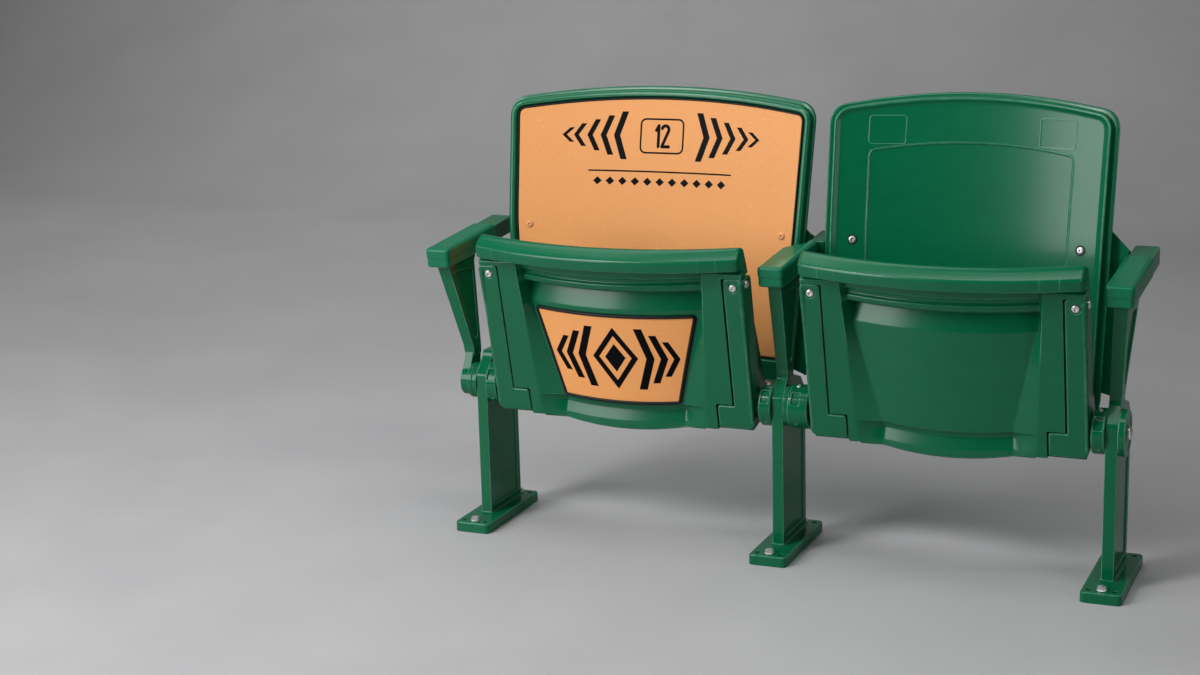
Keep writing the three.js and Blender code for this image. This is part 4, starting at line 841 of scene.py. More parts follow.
def hub_shape(length):
    """Collar as radius over (turn, place along the axis). The stop pocket in its front is sunk by a soft step
    of the distance to a rounded rectangle, and a small hole by one of the distance to a point."""
    steps = 336
    t = turns(steps)
    far = LONG_NECK if length > 30 else 0.0
    edge = [(HUB_R - HUB_EDGE * (1 - math.sin(a)), HUB_EDGE * (1 - math.cos(a))) for a in np.linspace(0, QUARTER, 6)]
    line = [(HUB_BORE, 0), (37, 0)] + ([(38.2, 0.4), (38.2, far - 4)] if far else [])
    line += [(r, h + max(far - 3.5, 0)) for r, h in edge] + [(HUB_R, h + far) for h in np.linspace(3.6, 20.1, 22)]
    line += [(HUB_R, h) for h in np.linspace(22 + far, length - 4, 6)] if far else []
    line += [(r, length - h) for r, h in edge[::-1]]
    line += [(32, length), (31, length - 0.8), (31, 5.4), (30.4, 5), (HUB_BORE, 5), (HUB_BORE, 0)]
    line = np.array(line)
    radius, along = (np.repeat(line[:, k:k + 1], steps, 1) for k in (0, 1))
    outer, run = line[:, :1] > 38, along - POCKET_AT - far
    d = box_distance(run, arc_length(t, PI - POCKET_TURN), POCKET_HALF, POCKET_ARC, 3.0)
    radius = radius - np.where(outer, POCKET_SINK, 0) * smoothstep(-d, -0.65, 0.65)
    hole = np.hypot(run, arc_length(t, PI + DOT_TURN))
    radius = radius - np.where(outer, DOT_SINK, 0) * np.clip(0.5 - (hole - DOT_R), 0, 1)
    return tube(np.stack([radius * np.cos(t), radius * np.sin(t), along], -1))


def hub_place(x, side):
    """u is towards the rear, v is up and w runs out along x from the standard's face."""
    return lambda p: np.stack([x + side * (POST_FACE + p[:, 2]), AXIS_Y + p[:, 0], AXIS_Z + p[:, 1]], 1)


SET_SCREW_LEAN = math.radians(14)
for seat, at_left in (("left", -PITCH), ("right", 0.0)):
    for side_name, x, side in (("left", at_left, 1), ("right", at_left + PITCH, -1)):
        is_long = (seat, side) == ("right", 1)
        hub = hub_shape((LONG_HUB_FACE if is_long else HUB_FACE) - POST_FACE)
        casting(f"hub_{seat}_{side_name}", hub.map(hub_place(x, side)), f"hinge_hub_{seat}_{side_name}")
        screw = socket_head(4.6, 2.6, 2.1, 2.5, 3, steps=24)
        c, q = math.cos(SET_SCREW_LEAN), math.sin(SET_SCREW_LEAN)
        at_x = x + side * (POST_FACE + POCKET_AT + (LONG_NECK if is_long else 0))
        leaning = matrix_map([(1, 0, 0), (0, c, q), (0, -q, c)], (at_x, AXIS_Y - HUB_R * q, AXIS_Z + HUB_R * c))
        fastener(f"set_screw_{seat}_{side_name}", screw.map(leaning), "frame")


# Seats. A pan is described as (across, up the folded pan from the hinge line, forward), or x, s and depth.

HEEL, FLOOR_FROM, FLOOR_TO, SLOPE_TOP = -43, 3, 193, 226
LIP_FOOT, LIP_FACE, LIP_TOP = 277, 287.5, 323
REAR_HEEL, REAR_TOP, DISH, BOW, HOLLOW = -66.0, 12.0, 72.0, 36.0, 26  # depth of the sitting face
POCKET_HALF_WIDTH, POCKET_BOW = 190, 30.0
TOE_IN, INNER_IN, SIDE_IN = 72.5, 39.5, 5.3  # edges of the bracket rebates, drawn in from the side
REBATE, TOE_TOP, REBATE_TOP = 31.0, 12.35, 268.45
SEAM = 0.3  # half width that a crisp step is drawn over
SCREW_IN, SCREW_S = 18, 251  # face and side screws of the brackets

# Depth up the middle of the pan before its bow: pocket floor, slope, finger groove and lip
POCKET = np.array([(-43, 11), (-39, 16), (-34, 14), (-12, 2), (-2, 3), (3, 14), (193, 14), (226, -2), (233, 0),
                   (238, 24), (248, 24), (250.5, 18), (259, 18), (262, 24), (277, 24), (287.5, 48), (290, 51),
                   (305.5, 51), (308.6, 50.2), (311.2, 48.4), (313.2, 45.6), (321, 30), (323, 24)], float)
ROWS = [-43, -39, -34, -12, -2, 3, 12.2, 12.5, 193, 226, 233, 238, 248, 250.5, 259, 262, 268.3, 268.6, 277, 287.5,
        290, 305.5, 308.6, 311.2, 313.2, 321, 323]
FINE_ROWS = {238, 287.5, 290, 308.6, 311.2, 313.2, 323, 3, 250.5, 262, -39}  # ends of closely divided runs


def seat_place(centre):
    """Seat frame to the frame of the row: turned by the lean about the hinge line."""
    c, s = math.cos(TILT), math.sin(TILT)
    return lambda p: np.stack([p[:, 0] + centre, AXIS_Y - p[:, 1] * s - p[:, 2] * c,
                               AXIS_Z + p[:, 1] * c - p[:, 2] * s], 1)


def rim_half(s, unit):
    """Half width of the pocket's rim, which widens evenly up the pan."""
    return mix(165.0, 184.0, np.clip((s - HEEL) / 320, 0, 1)) * unit


def floor_half(s, unit):
    """Half width of the pocket's floor: widens evenly, and above the floor keeps 9 inside the rim."""
    low = mix(121.0, 168.0, np.clip((s - FLOOR_FROM) / (FLOOR_TO - FLOOR_FROM), 0, 1)) * unit
    return np.where(s >= FLOOR_TO, rim_half(s, unit) - 9, low)


def quarter(v, reach):
    """Fall of a rounded edge: 0 beyond reach, reach at the very edge, along a quarter circle."""
    q = np.clip(1 - v / reach, 0, 1)
    return reach * (1 - np.sqrt(1 - q * q))


def soften(depth, rounds):
    """Rounds the corners of a depth map: each round moves a point half way to its four neighbours' mean."""
    for _ in range(rounds):
        d, e = depth.copy(), depth.copy()
        d[1:-1, :] = 0.5 * (depth[2:, :] + depth[:-2, :])
        e[:, 1:-1] = 0.5 * (depth[:, 2:] + depth[:, :-2])
        depth = mix(depth, 0.5 * (d + e), 0.5)
    return depth


def pan_grid(half, unit):
    """Half grid of the pan: rows s, columns that follow floor, rim, toe and rebate edges, and those edges."""
    rows = [ROWS[0]]
    for a, b in zip(ROWS, ROWS[1:]):
        n = max(1, int(round((b - a) / (1.0 if b in FINE_ROWS else 1.9))))
        rows += list(a + (b - a) * (np.arange(n) + 1) / n)
    rows = np.array(rows)
    toe, inner = half - TOE_IN, half - INNER_IN
    side = np.where(rows > 268.4, half, half - SIDE_IN)
    floor, rim = floor_half(rows, unit), np.minimum(rim_half(rows, unit), toe - 1.0)

    def band(start, end, n):
        return start[:, None] + np.outer(end - start, np.linspace(0, 1, n)[1:])
    past_toe, past_inner = (np.full(len(rows), v + SEAM) for v in (toe, inner))
    round_edge = (side - 4)[:, None] + 4 * np.sin(np.linspace(0, QUARTER, 6))[None, 1:]
    xs = np.hstack([np.outer(floor, np.linspace(0, 1, 60)), band(floor, rim, 15), band(rim, toe, 8),
                    past_toe[:, None], band(past_toe, inner, 14), past_inner[:, None],
                    band(past_inner, side - 4, 14), round_edge])
    return np.repeat(rows[:, None], xs.shape[1], 1), xs, floor[:, None], rim[:, None], side[:, None], toe, inner


def pan_front(s, xs, floor, rim, side, toe, inner, half):
    """Depth of the moulded underside. Inside the floor's width it is the pocket line plus a parabola across;
    walls rise evenly from the floor's edge to the stiles; up the lip both blend into the lip's bow. The map
    is softened, its edges fall along quarter circles, and the bracket rebates are cut to one depth."""
    base = np.interp(s, POCKET[:, 0], POCKET[:, 1])
    lip = smoothstep(s, LIP_FOOT, LIP_FACE)

    def bowed(x):
        return base + mix(POCKET_BOW * (1 - (x / POCKET_HALF_WIDTH) ** 2), BOW * (1 - (x / half) ** 2), lip)
    pocket, inside_floor = bowed(xs), xs <= floor + 1e-6
    wall = np.clip((xs - floor) / np.maximum(rim - floor, 1), 0, 1)
    low = np.where(inside_floor, pocket, mix(bowed(floor), STILE, wall))
    rise = mix(np.where(inside_floor, pocket, STILE), pocket, np.clip((s - LIP_FOOT) / (LIP_FACE - LIP_FOOT), 0, 1))
    front = np.where(s > LIP_FACE, pocket, np.where(s <= LIP_FOOT, low, rise))
    full = soften(np.hstack([front[:, :0:-1], front]), 2)
    front = full[:, full.shape[1] // 2:]
    front = front - np.where(xs > rim - 2, quarter(s - HEEL, 5.0), 0)
    front = front - quarter(side - xs, np.where(s > 280, 9.0, 3.2))
    rebate = ((xs > inner + 0.1) & (s < REBATE_TOP)) | ((xs > toe + 0.1) & (s < TOE_TOP))
    return np.where(rebate, np.minimum(front, REBATE), front)


def pan_rear(s, xs, side, half):
    """Depth of the sitting face: a parabola across on a line up the pan. Its dish runs from heel to lip and
    is hollowed by a half sine whose middle lies at the slope; edges and heel fall along quarter circles."""
    share = np.clip(s / LIP_TOP, 0, 1)
    power = math.log(0.5) / math.log(SLOPE_TOP / LIP_TOP)
    dish = mix(DISH, BOW, share) - HOLLOW * np.sin(PI * share ** power)
    rear = mix(REAR_HEEL, REAR_TOP, share) + dish * (1 - (xs / half) ** 2)
    heel = 7 + 33 * np.clip((xs / half - 0.8) / 0.16, 0, 1)
    rear = rear + quarter(s - HEEL, heel) + quarter(LIP_TOP - s, 7.0) + quarter(side - xs, 6.0)
    return rear + 1.2 * np.exp(-((s - 60) / 40.0) ** 2) * np.cos(xs / half * PI * 2)


def pan_shape(half):
    """Seat pan as two depth maps over one grid, joined round its edges. The heel's middle sags below a
    parabola, and the lip's ends drop along a quarter circle."""
    s, xs, floor, rim, side, toe, inner = pan_grid(half, half / SEAT_MEAN)
    sag = np.interp(s, [-43, -39, -34, 3, 60], [15, 15, 6, 6, 0]) * np.clip(1 - (xs / rim) ** 2, 0, 1)
    drop = np.where(s > 300, quarter(side - xs, 7.0) * (s - 300) / 23, 0)
    s_real = s - sag - drop

    def both(depth):
        left = np.stack([-xs, s_real, depth], -1)[:, :0:-1]
        return np.concatenate([left, np.stack([xs, s_real, depth], -1)], 1)
    f, r = both(pan_front(s, xs, floor, rim, side, toe, inner, half)), both(pan_rear(s, xs, side, half))
    out = Shape()
    grid(out, f)
    grid(out, r[:, ::-1])
    for a, b, shares in ((f[0], r[0], (0, 0.5, 1)), (f[-1], r[-1], (0, 0.35, 0.7, 1)),
                         (f[:, 0], r[:, 0], (0, 0.5, 1)), (f[:, -1], r[:, -1], (0, 0.5, 1))):
        grid(out, np.stack([mix(a, b, q) for q in shares]))
    return out


def bracket_outline(half):
    """L-shaped face of a bracket: a long leg up the side and a short toe."""
    inner, toe = half - 36.2, half - 69.2
    return rounded([(inner, 9.4, 2), (toe, 9.4, 6), (toe, -36, 4), (half, -36, 12), (half, 268, 4), (inner, 268, 8)],
                   1.2)


def bracket_shape(half, reach):
    """Face plate with its screw recess, side flange, and the pivot boss that runs out to the hub's face at
    reach. A bead down the outer corner is a part circle whose radius grows by a soft step towards the top
    and closes at both ends along ellipses."""
    thick, face = 5, STILE
    s = slab(bracket_outline(half), 34, face, r=3.2, r0=0.3, top=[(circle(half - SCREW_IN, SCREW_S, 9.4, 40), 2.6)],
             steps=5)
    flange = slab(rounded([(-10, -24, 10), (40, -24, 8), (40, 262, 8), (-10, 262, 14)]), half - thick, half, r=2.2,
                  r0=0.3, through=[circle(20, SCREW_S, 3.5, 20)])
    s.join(flange.map(lambda p: p[:, ::-1]))
    rows = np.linspace(-26, 266, 60)
    ends = [np.sqrt(np.clip(1 - np.clip(v / 8.4, 0, 1) ** 2, 0, 1)) for v in (rows - 258, -18 - rows)]
    radius = (3.75 + 2.1 * smoothstep(rows, 150, 262)) * ends[0] * ends[1]
    a = np.linspace(-0.35 * PI, 0.85 * PI, 12)
    grid(s, np.stack([half - 3.6 + np.outer(radius, np.cos(a)), np.repeat(rows[:, None], len(a), 1),
                      38.6 + np.outer(radius, np.sin(a))], -1))
    outward = matrix_map([(0, 0, -1), (0, 1, 0), (1, 0, 0)], (half - thick, 0, 0))
    length = reach - half + thick
    s.join(lathe(smooth_profile([(9.4, 0), (27, 0), (27, length), (9.4, length)], 1.8), 72).map(outward))
    inner = lathe(smooth_profile([(ON_AXIS, -11), (15, -11), (15, 0), (ON_AXIS, 0)], 1.2), 40)
    return s.join(inner.map(outward))


def mirrored(shape, side):
    """The shape itself on the right, its mirror image on the left."""
    return shape if side > 0 else shape.map(lambda p: p * [-1, 1, 1])


for name, (centre, half) in SEAT.items():
    body, lay = f"{name}_seat", seat_place(centre)
    moulding(f"pan_{name}", pan_shape(half).map(lay), body, f"seat_pan_{name}", sharp=50)
    left_face, right_face = (HUB_FACE - PITCH, -HUB_FACE) if name == "left" else (LONG_HUB_FACE, PITCH - HUB_FACE)
    reaches = {"left": centre - left_face - 0.3, "right": right_face - centre - 0.3}
    head = socket_head(7.4, 4.2, 3.3, 3.4, 14)
    for side_name, side in SIDES:
        at = f"{name}_{side_name}"
        bracket = mirrored(bracket_shape(half, reaches[side_name]), side)
        moulding(f"bracket_{at}", bracket.map(lay), body, f"seat_bracket_{at}")
        face = head.map(lambda p: p + [side * (half - SCREW_IN), SCREW_S, STILE - 2.4])
        fastener(f"face_screw_{at}", face.map(lay), body, f"seat_screw_{at}")
        out = head.map(matrix_map([(0, 1, 0), (0, 0, 1), (1, 0, 0)], (half + 0.2, SCREW_S, 20)))
        fastener(f"flange_screw_{at}", mirrored(out, side).map(lay), body, f"side_screw_{at}")

# Tan panel with its black edging in the left seat's pocket

PANEL_LOW, PANEL_HIGH, PANEL_CORNER = 6.0, 183.0, 6
PANEL_MID = (PANEL_LOW + PANEL_HIGH) / 2


def bead(outline, width, low, high, lift):
    """Closed band along an outline whose upper half is a half ellipse; lift maps (points, depth) to the seat
    or back."""
    shoulder = mix(low, high, 0.45)
    rings = [(0, low), (0, mix(low, high, 0.35))]
    rings += [(width / 2 * (1 - math.cos(a)), mix(shoulder, high, math.sin(a))) for a in np.linspace(0, PI, 9)]
    rings += [(width, mix(low, high, 0.35)), (width, low)]
    return tube([lift(offset(outline, d), h) for d, h in rings])


def seat_lift(half):
    """Map from the pocket's floor (x, s) and a height on it: the floor's parabola across, with the sag of the
    heel faded out up the floor."""
    def lift(p, height):
        x, s = p[:, 0], p[:, 1]
        ease = np.clip(1 - (s - FLOOR_FROM) / 95, 0, 1)
        sag = 6 * np.clip(1 - (x / rim_half(s, half / SEAT_MEAN)) ** 2, 0, 1) * ease
        return np.stack([x, s - sag, 14 + POCKET_BOW * (1 - (x / POCKET_HALF_WIDTH) ** 2) + height], 1)
    return lift


def panel(inner, edge, shares, middle, face, lift):
    """Tan panel in its edging: a rolled edge of (draw, height) rings, then rings that shrink to the middle."""
    rings = [lift(offset(inner, d), h) for d, h in edge]
    rings += [lift(scaled(offset(inner, edge[-1][0]), q, (0, middle)), face) for q in shares]
    s = tube(rings)
    cap(s, rings[-1])
    return s


centre, half = SEAT["left"]
lift, lay = seat_lift(half), seat_place(centre)
low_edge, high_edge = (float(floor_half(np.array(v), half / SEAT_MEAN)) - 6 for v in (PANEL_LOW, PANEL_HIGH))
seat_outline = rounded([(-low_edge, PANEL_LOW, PANEL_CORNER), (low_edge, PANEL_LOW, PANEL_CORNER),
                        (high_edge, PANEL_HIGH, PANEL_CORNER), (-high_edge, PANEL_HIGH, PANEL_CORNER)], 1.0)
seat_outline = ccw(resample(seat_outline, 1.8))
edging = bead(offset(seat_outline, -1.6), 6.4, 0.0, 5.2, lift)
piece("seat_edging", edging.map(lay), "rubber_black", "left_seat", "black_gasket", "seat_gasket_left")
tan = panel(offset(seat_outline, 3.8), [(0, 0.8), (0, 2.1), (0.25, 2.4), (0.6, 2.5)], np.linspace(0.97, 0.03, 26),
            PANEL_MID, 2.5, lift)
piece("seat_tan_panel", tan.map(lay), "woven_tan_seat_painted_light", "left_seat", "tan_panel", "seat_panel_left")


# Printed shapes


def inside(points, loops):
    """Even-odd test: a point is inside where a line from it to the right crosses the loops' sides an odd
    number of times."""
    hit = np.zeros(len(points), bool)
    for loop in loops:
        for (ax, ay), (bx, by) in zip(loop, np.roll(loop, -1, 0)):
            cross = (ay > points[:, 1]) != (by > points[:, 1])
            with np.errstate(divide="ignore", invalid="ignore"):
                at_x = (bx - ax) * (points[:, 1] - ay) / (by - ay) + ax
            hit ^= cross & (points[:, 0] < at_x)
    return hit


def subdivide(loop, spacing):
    """Closed loop with each side cut into equal steps of about the spacing."""
    out = []
    for a, b in zip(loop, np.roll(loop, -1, 0)):
        n = max(1, int(np.linalg.norm(b - a) / spacing))
        out += [a + (b - a) * k / n for k in range(n)]
    return np.array(out)


def print_patch(shape, loops, lift, spacing=7.0):
    """Flat print laid over a curved face: the loops and an even field of points inside them are joined by
    Delaunay triangles, and those whose middle is inside the loops are lifted to the face."""
    fine = [resample(loop, 2.2) if len(loop) > 30 else subdivide(loop, 5.0) for loop in loops]
    edges, n = [], 0
    for loop in fine:
        edges += [(n + i, n + (i + 1) % len(loop)) for i in range(len(loop))]
        n += len(loop)
    rim = np.vstack(fine)
    lo, hi = rim.min(0), rim.max(0)
    gx, gy = np.meshgrid(np.arange(lo[0] + 2, hi[0], spacing), np.arange(lo[1] + 2, hi[1], spacing))
    field = np.column_stack([gx.ravel(), gy.ravel()])
    field = field[inside(field, loops)]
    near = np.linalg.norm(field[:, None] - rim[None], axis=2).min(1, initial=np.inf)
    pts = np.vstack([rim, field[near > 2.0]])
    out = delaunay_2d_cdt([Vector(p) for p in pts], edges, [], 0, 1e-5)
    verts, tris = np.array(out[0])[:, :2], np.array(out[2])
    shape.add(lift(verts), tris[inside(verts[tris].mean(1), loops)])


def stroke(points, width):
    """Outline of a line of constant width: half the width along the normal each side, and half circles at
    its ends."""
    p = np.array(points, float)
    d = unit(np.gradient(p, axis=0))
    n = np.column_stack([-d[:, 1], d[:, 0]]) * width / 2
    ends = []
    for middle, start in ((p[-1], n[-1]), (p[0], -n[0])):
        a = math.atan2(start[1], start[0]) - PI * np.arange(1, 6) / 6
        ends.append(middle + width / 2 * np.stack([np.cos(a), np.sin(a)], 1))
    return np.vstack([p + n, ends[0], (p - n)[::-1], ends[1]])


def straight(a, b, n):
    """Line from a to b in n even points."""
    return np.asarray(a) + (np.asarray(b) - a) * np.linspace(0, 1, n)[:, None]


def printed(name, body, patches, lift):
    """Piece of print made of patches, each a list of loops."""
    s = Shape()
    for loops in patches:
        print_patch(s, loops, lift)
    piece(name, s, "print_black", body, "tan_panel", weighted=False)


def number_twelve(cx, cy, high, width):
    """Plain figures 1 and 2 drawn as strokes: straight lines, and an arc for the top of the 2."""
    h = high / 2
    flag, tip, heel = np.array([(-0.62, 0.55), (-0.36, 1.0), (-0.36, -1.0)]) * h + [cx, cy]
    r = 0.36 * h
    turn = np.radians(np.linspace(165, -35, 16))
    top = np.stack([cx + 0.34 * h + r * np.cos(turn), cy + h - r + r * np.sin(turn)], 1)
    corner, end = np.array([cx + 0.02 * h, cy - h]), np.array([cx + 0.74 * h, cy - h])
    lines = [straight(flag, tip, 6), straight(tip, heel, 10), np.vstack([top, straight(top[-1], corner, 9)[1:]]),
             straight(corner, end, 7)]
    return [stroke(line, width) for line in lines]


def chevron(cx, cy, high, thick, point):
    """Bent bar that points sideways by point (negative to the left)."""
    h, w = high / 2, thick / 2
    return ccw(np.array([(cx - w, cy - h), (cx + w, cy - h), (cx + w + point, cy), (cx + w, cy + h), (cx - w, cy + h),
                         (cx - w + point, cy)], float))


def diamond(cx, cy, a, b):
    """Diamond with half width a and half height b."""
    return np.array([(cx + a, cy), (cx, cy + b), (cx - a, cy), (cx, cy - b)], float)


# Backs, described as (across, height) and the depth behind the front face line

FACE_DRAW = 15.2  # from the outline to the dished face
LAYER_BACK = 28.6  # depth of the rear face inside its rim
FACE_Y, BACK_BOW = 107, 35
LOW_SLOPE, HIGH_SLOPE, BEND_HALF = 25 / 205, 45 / 222, 25
FIXING_IN, FIXING_Z = 42, 577.0
ROLLED_RIM = [(15.2, 1.0), (14.4, 0.93), (13.5, 0.72), (12.6, 0.40), (11.6, 0.16)]  # (draw, share of the recess)
SOFT_RIM = [(15.2, 1.0), (13.4, 0.93), (11.6, 0.78), (9.8, 0.56), (8.2, 0.34), (6.8, 0.15), (5.6, 0.04), (4.6, 0.0)]
ROUND_EDGE = [(10.4, 0.25), (9, 0.0), (7, 0.1), (5, 0.6), (3.4, 1.4), (2.0, 2.6), (0.9, 4.2), (0.25, 6.2)]
CRISP_EDGE = [(3.6, 0.12), (2.7, 0.5), (1.9, 1.15), (1.2, 2.1), (0.6, 3.3), (0.2, 4.8), (0, 6.6)]
REAR_LAYER = [(0, 8.5), (0, 14.2), (0.4, 14.9), (0.2, 15.4), (-2.5, 15.7), (-4.2, 16.3), (-5, 17.6), (-5, 25.2),
              (-4.3, 27.4), (-2.8, 29), (-0.5, 29.8), (3, 30)]
REAR_EDGE = [(8, 30), (16, 30), (17.2, 29.4), (19, LAYER_BACK)]
RAISED_FIELD = [(3.6, 1.5), (2.4, 1.5), (1.5, 1.45), (0.9, 1.1), (0.4, 0.4), (0.0, 0.02), (-0.7, -0.1), (-1.5, -0.1),
                (-2.2, 0.0), (-2.6, 0.35), (-3.2, 0.35), (-3.6, 0.0), (-4.4, 0.0)]


def back_line(z):
    """Front face line of the back against height: two slopes joined by a parabola across the bend."""
    d, e = z - BACK_BEND, BEND_HALF
    ramp = np.where(d < -e, 0, np.where(d > e, d, (d + e) ** 2 / (4 * e)))
    return FACE_Y + d * LOW_SLOPE + ramp * (HIGH_SLOPE - LOW_SLOPE)


def back_lift(spec):
    """Map from (across, height) and a depth to the row: the face line plus a parabola across."""
    def lift(p, depth):
        x, z = p[:, 0], p[:, 1]
        y = back_line(z) + BACK_BOW * (1 - (x / spec["half"]) ** 2) + depth
        return np.stack([x + spec["x"], y, z], 1)
    return lift


def back_outline(spec):
    """Outline of a back: rounded corners at the sides, a parabola along the top, mirrored and smoothed by
    averaging each point with its neighbours."""
    half, low, high = spec["half"], spec["half"] - spec["low"], spec["half"] + spec["flare"]
    bottom = BACK_BOTTOM - spec["foot"]
    right = rounded([(0, bottom), (low, bottom, 14), (half, BACK_BEND, 60), (high, BACK_CORNER, 30),
                     (0, BACK_CORNER + 7.5)])[1:-1]
    xe, ze = right[-1]
    x = np.linspace(xe, 0, 60)[1:]
    side = np.vstack([right, np.column_stack([x, ze + (BACK_TOP - ze) * (1 - (x / xe) ** 2)])])
    full = resample(ccw(np.vstack([side, (side * [-1, 1])[::-1][1:]])), 2.6)
    for _ in range(6):
        full = full * 0.5 + (np.roll(full, 1, 0) + np.roll(full, -1, 0)) * 0.25
    return full


def raised(outline):
    """Draws up the low part of an inner outline evenly, which leaves a deep lower rim."""
    z, start, lowest = outline[:, 1], 420, 342
    share = (start - lowest) / (start - BACK_BOTTOM - 15)
    return np.column_stack([outline[:, 0], np.where(z < start, start - (start - z) * share, z)])


def back_face(spec, framed, face, lift):
    """Rings of the dished face from its middle outwards; the plain back has a raised field in it."""
    recess, middle = spec["recess"], (0, BACK_MID)
    if not framed:
        return [lift(scaled(face, q, middle), recess) for q in np.linspace(0.03, 0.985, 28)]
    field_share = np.array([1 - 56 / spec["half"], 1 - 74 / (BACK_TOP - BACK_MID)])

    def toward(t):
        return scaled(face, mix(1.0, field_share, t), middle)
    marks = toward(1.0)
    rings = [lift(scaled(marks, q, middle), recess + 1.5) for q in np.linspace(0.03, 0.97, 24)]
    rings += [lift(offset(marks, d), recess + h) for d, h in RAISED_FIELD]
    return rings + [lift(toward(t), recess) for t in np.linspace(0.86, 0.06, 10)]


def back_shell(spec, framed):
    """Moulded shell as rings over (draw from the outline, depth): dished face, rim, stepped rear layer that
    on the plain back stands further out at its sides by a soft step, and the flat rear."""
    outline, lift, recess = back_outline(spec), back_lift(spec), spec["recess"]
    rings = back_face(spec, framed, raised(offset(outline, FACE_DRAW)), lift)
    rim, edge = (SOFT_RIM, CRISP_EDGE) if framed else (ROLLED_RIM, ROUND_EDGE)
    for d, h in [(d, recess * q) for d, q in rim] + edge + REAR_LAYER:
        ring = raised(offset(outline, d)) if d > 6 else offset(outline, d)
        if d < -1 and framed:
            x = ring[:, 0]
            ring = ring + np.stack([np.sign(x) * 1.3 * -d * smoothstep(np.abs(x) / spec["half"], 0.8, 1), 0 * x], 1)
        rings.append(lift(ring, h))
    rings += [lift(offset(outline, d), h) for d, h in REAR_EDGE]
    edge = offset(outline, 20.5)
    rings += [lift(scaled(edge, q, (0, BACK_MID)), LAYER_BACK) for q in np.linspace(0.99, 0.03, 24)]
    s = tube(rings)
    cap(s, rings[0])
    cap(s, rings[-1])
    return s


def screw_frame(spec, side, depth):
    """Map from a screw's own frame to the back's face: across along the bow's slope, out along the face's
    normal."""
    x = side * (spec["half"] - FIXING_IN)
    across = unit(np.array([1, -2 * BACK_BOW * x / spec["half"] ** 2, 0]))
    out = unit(np.cross(across, [0, LOW_SLOPE, 1]))
    return matrix_map([across, np.cross(out, across), out], back_lift(spec)(np.array([[x, FIXING_Z]]), depth)[0])


# Dark ring round each screw head of the plain back: painted shade
washer = lathe(smooth_profile([(7.4, -0.6), (9.6, -0.6), (9.8, 0.25), (8.6, 0.45), (7.6, 0.1), (7.4, -0.6)], 0.3), 40)
for name, spec in BACK.items():
    framed = name == "right"
    moulding(f"back_{name}", back_shell(spec, framed), "frame", f"back_shell_{name}", sharp=60)
    for side_name, side in SIDES:
        at, lay = f"{name}_{side_name}", screw_frame(spec, side, spec["recess"] - (0.0 if framed else 3.3))
        if framed:
            # Painted shade ring round the screw head
            piece(f"screw_shade_ring_{at}", washer.map(lay), "painted_shade", "frame", "moulded_green")
            fastener(f"back_fixing_{at}", socket_head(7, 3.8, 2.9, 3, 16).map(lay), "frame", f"back_screw_{at}")
        else:
            fastener(f"back_fixing_{at}", socket_head(7, 3.0, 2.4, 3, 16).map(lay), "frame", f"back_screw_{at}",
                     finish="cap_tan", slot="tan_panel")

# Raised outline of the number places on the plain back
PLACE_HALF, PLACE_HIGH, PLACE_IN, PLACE_DOWN = 33, 25, 96, 62
PLACE_LINE = [(-2.6, 0.3), (-1.9, -0.02), (-1.2, -0.32), (-0.5, -0.36), (0.1, -0.2), (0.6, -0.03)]
spec = BACK["right"]
lift = back_lift(spec)
for side_name, side in SIDES:
    cx, cz = side * (254 - PLACE_IN), BACK_TOP - PLACE_DOWN
    outline = rectangle(cx - PLACE_HALF, cx + PLACE_HALF, cz - PLACE_HIGH, cz + PLACE_HIGH, 5, 0.8)
    outline = ccw(resample(outline, 1.6))
    rings = [lift(offset(outline, d), spec["recess"] + h) for d, h in PLACE_LINE]
    rings += [lift(scaled(offset(outline, 0.6), q, (cx, cz)), spec["recess"] - 0.03) for q in np.linspace(1, 0.1, 12)]
    s = tube(rings)
    cap(s, rings[-1])
    moulding(f"number_place_{side_name}", s, "frame", sharp=60)

# Tan panel and black edging on the left back
spec = BACK["left"]
lift = back_lift(spec)
outline = raised(offset(back_outline(spec), 15.0))
piece("back_edging", bead(outline, 4.2, 8.0, 3.0, lift), "rubber_black", "frame", "black_gasket", "back_gasket_left")
tan = panel(offset(outline, 3.8), [(0, 7.7), (0, 5.2), (0.3, 4.8), (0.9, 4.7)], np.linspace(0.985, 0.03, 30), BACK_MID,
            4.7, lift)
piece("back_tan_panel", tan, "woven_tan", "frame", "tan_panel", "back_panel_left")

# Print on the tan back: a framed seat number between stacked chevrons, a line and a row of diamonds
PRINT_Z, PRINT_DEPTH = 752.0, 4.55
number_frame = ccw(rectangle(-46, 46, PRINT_Z - 34, PRINT_Z + 34, 12))
patches = [[number_frame, offset(number_frame, 3.4)]] + [[loop] for loop in number_twelve(0, PRINT_Z, 40, 6.2)]
patches += [[chevron(side * x, PRINT_Z, high, 13 - k, side * 16)] for side in (-1, 1)
            for k, (x, high) in enumerate(((78, 92), (106, 76), (134, 60), (162, 44), (186, 28)))]
patches += [[ccw(rectangle(-150, 150, 682, 685, 1.4, 0.5))]] + [[diamond(k * 26.0, 664, 9, 8)] for k in range(-5, 6)]
printed("back_print", "frame", patches, lambda p: lift(p, PRINT_DEPTH))

# Print on the tan seat panel: a large diamond that chevrons nest round
SEAT_PRINT_S, SEAT_PRINT_HIGH = 96, 2.65
centre, half = SEAT["left"]
seat_lifted, lay = seat_lift(half), seat_place(centre)
patches = [[ccw(diamond(0, SEAT_PRINT_S, 46, 62)), ccw(diamond(0, SEAT_PRINT_S, 33, 44.5))],
           [ccw(diamond(0, SEAT_PRINT_S, 21, 28))]]
patches += [[chevron(side * x, SEAT_PRINT_S, high, thick, side * 20)] for side in (-1, 1)
            for x, high, thick in ((50, 122, 16), (77, 96, 14), (101, 70, 12))]
printed("seat_print", "left_seat", patches, lambda p: lay(seat_lifted(p, SEAT_PRINT_HIGH)))

# Nodes that keep their own shape

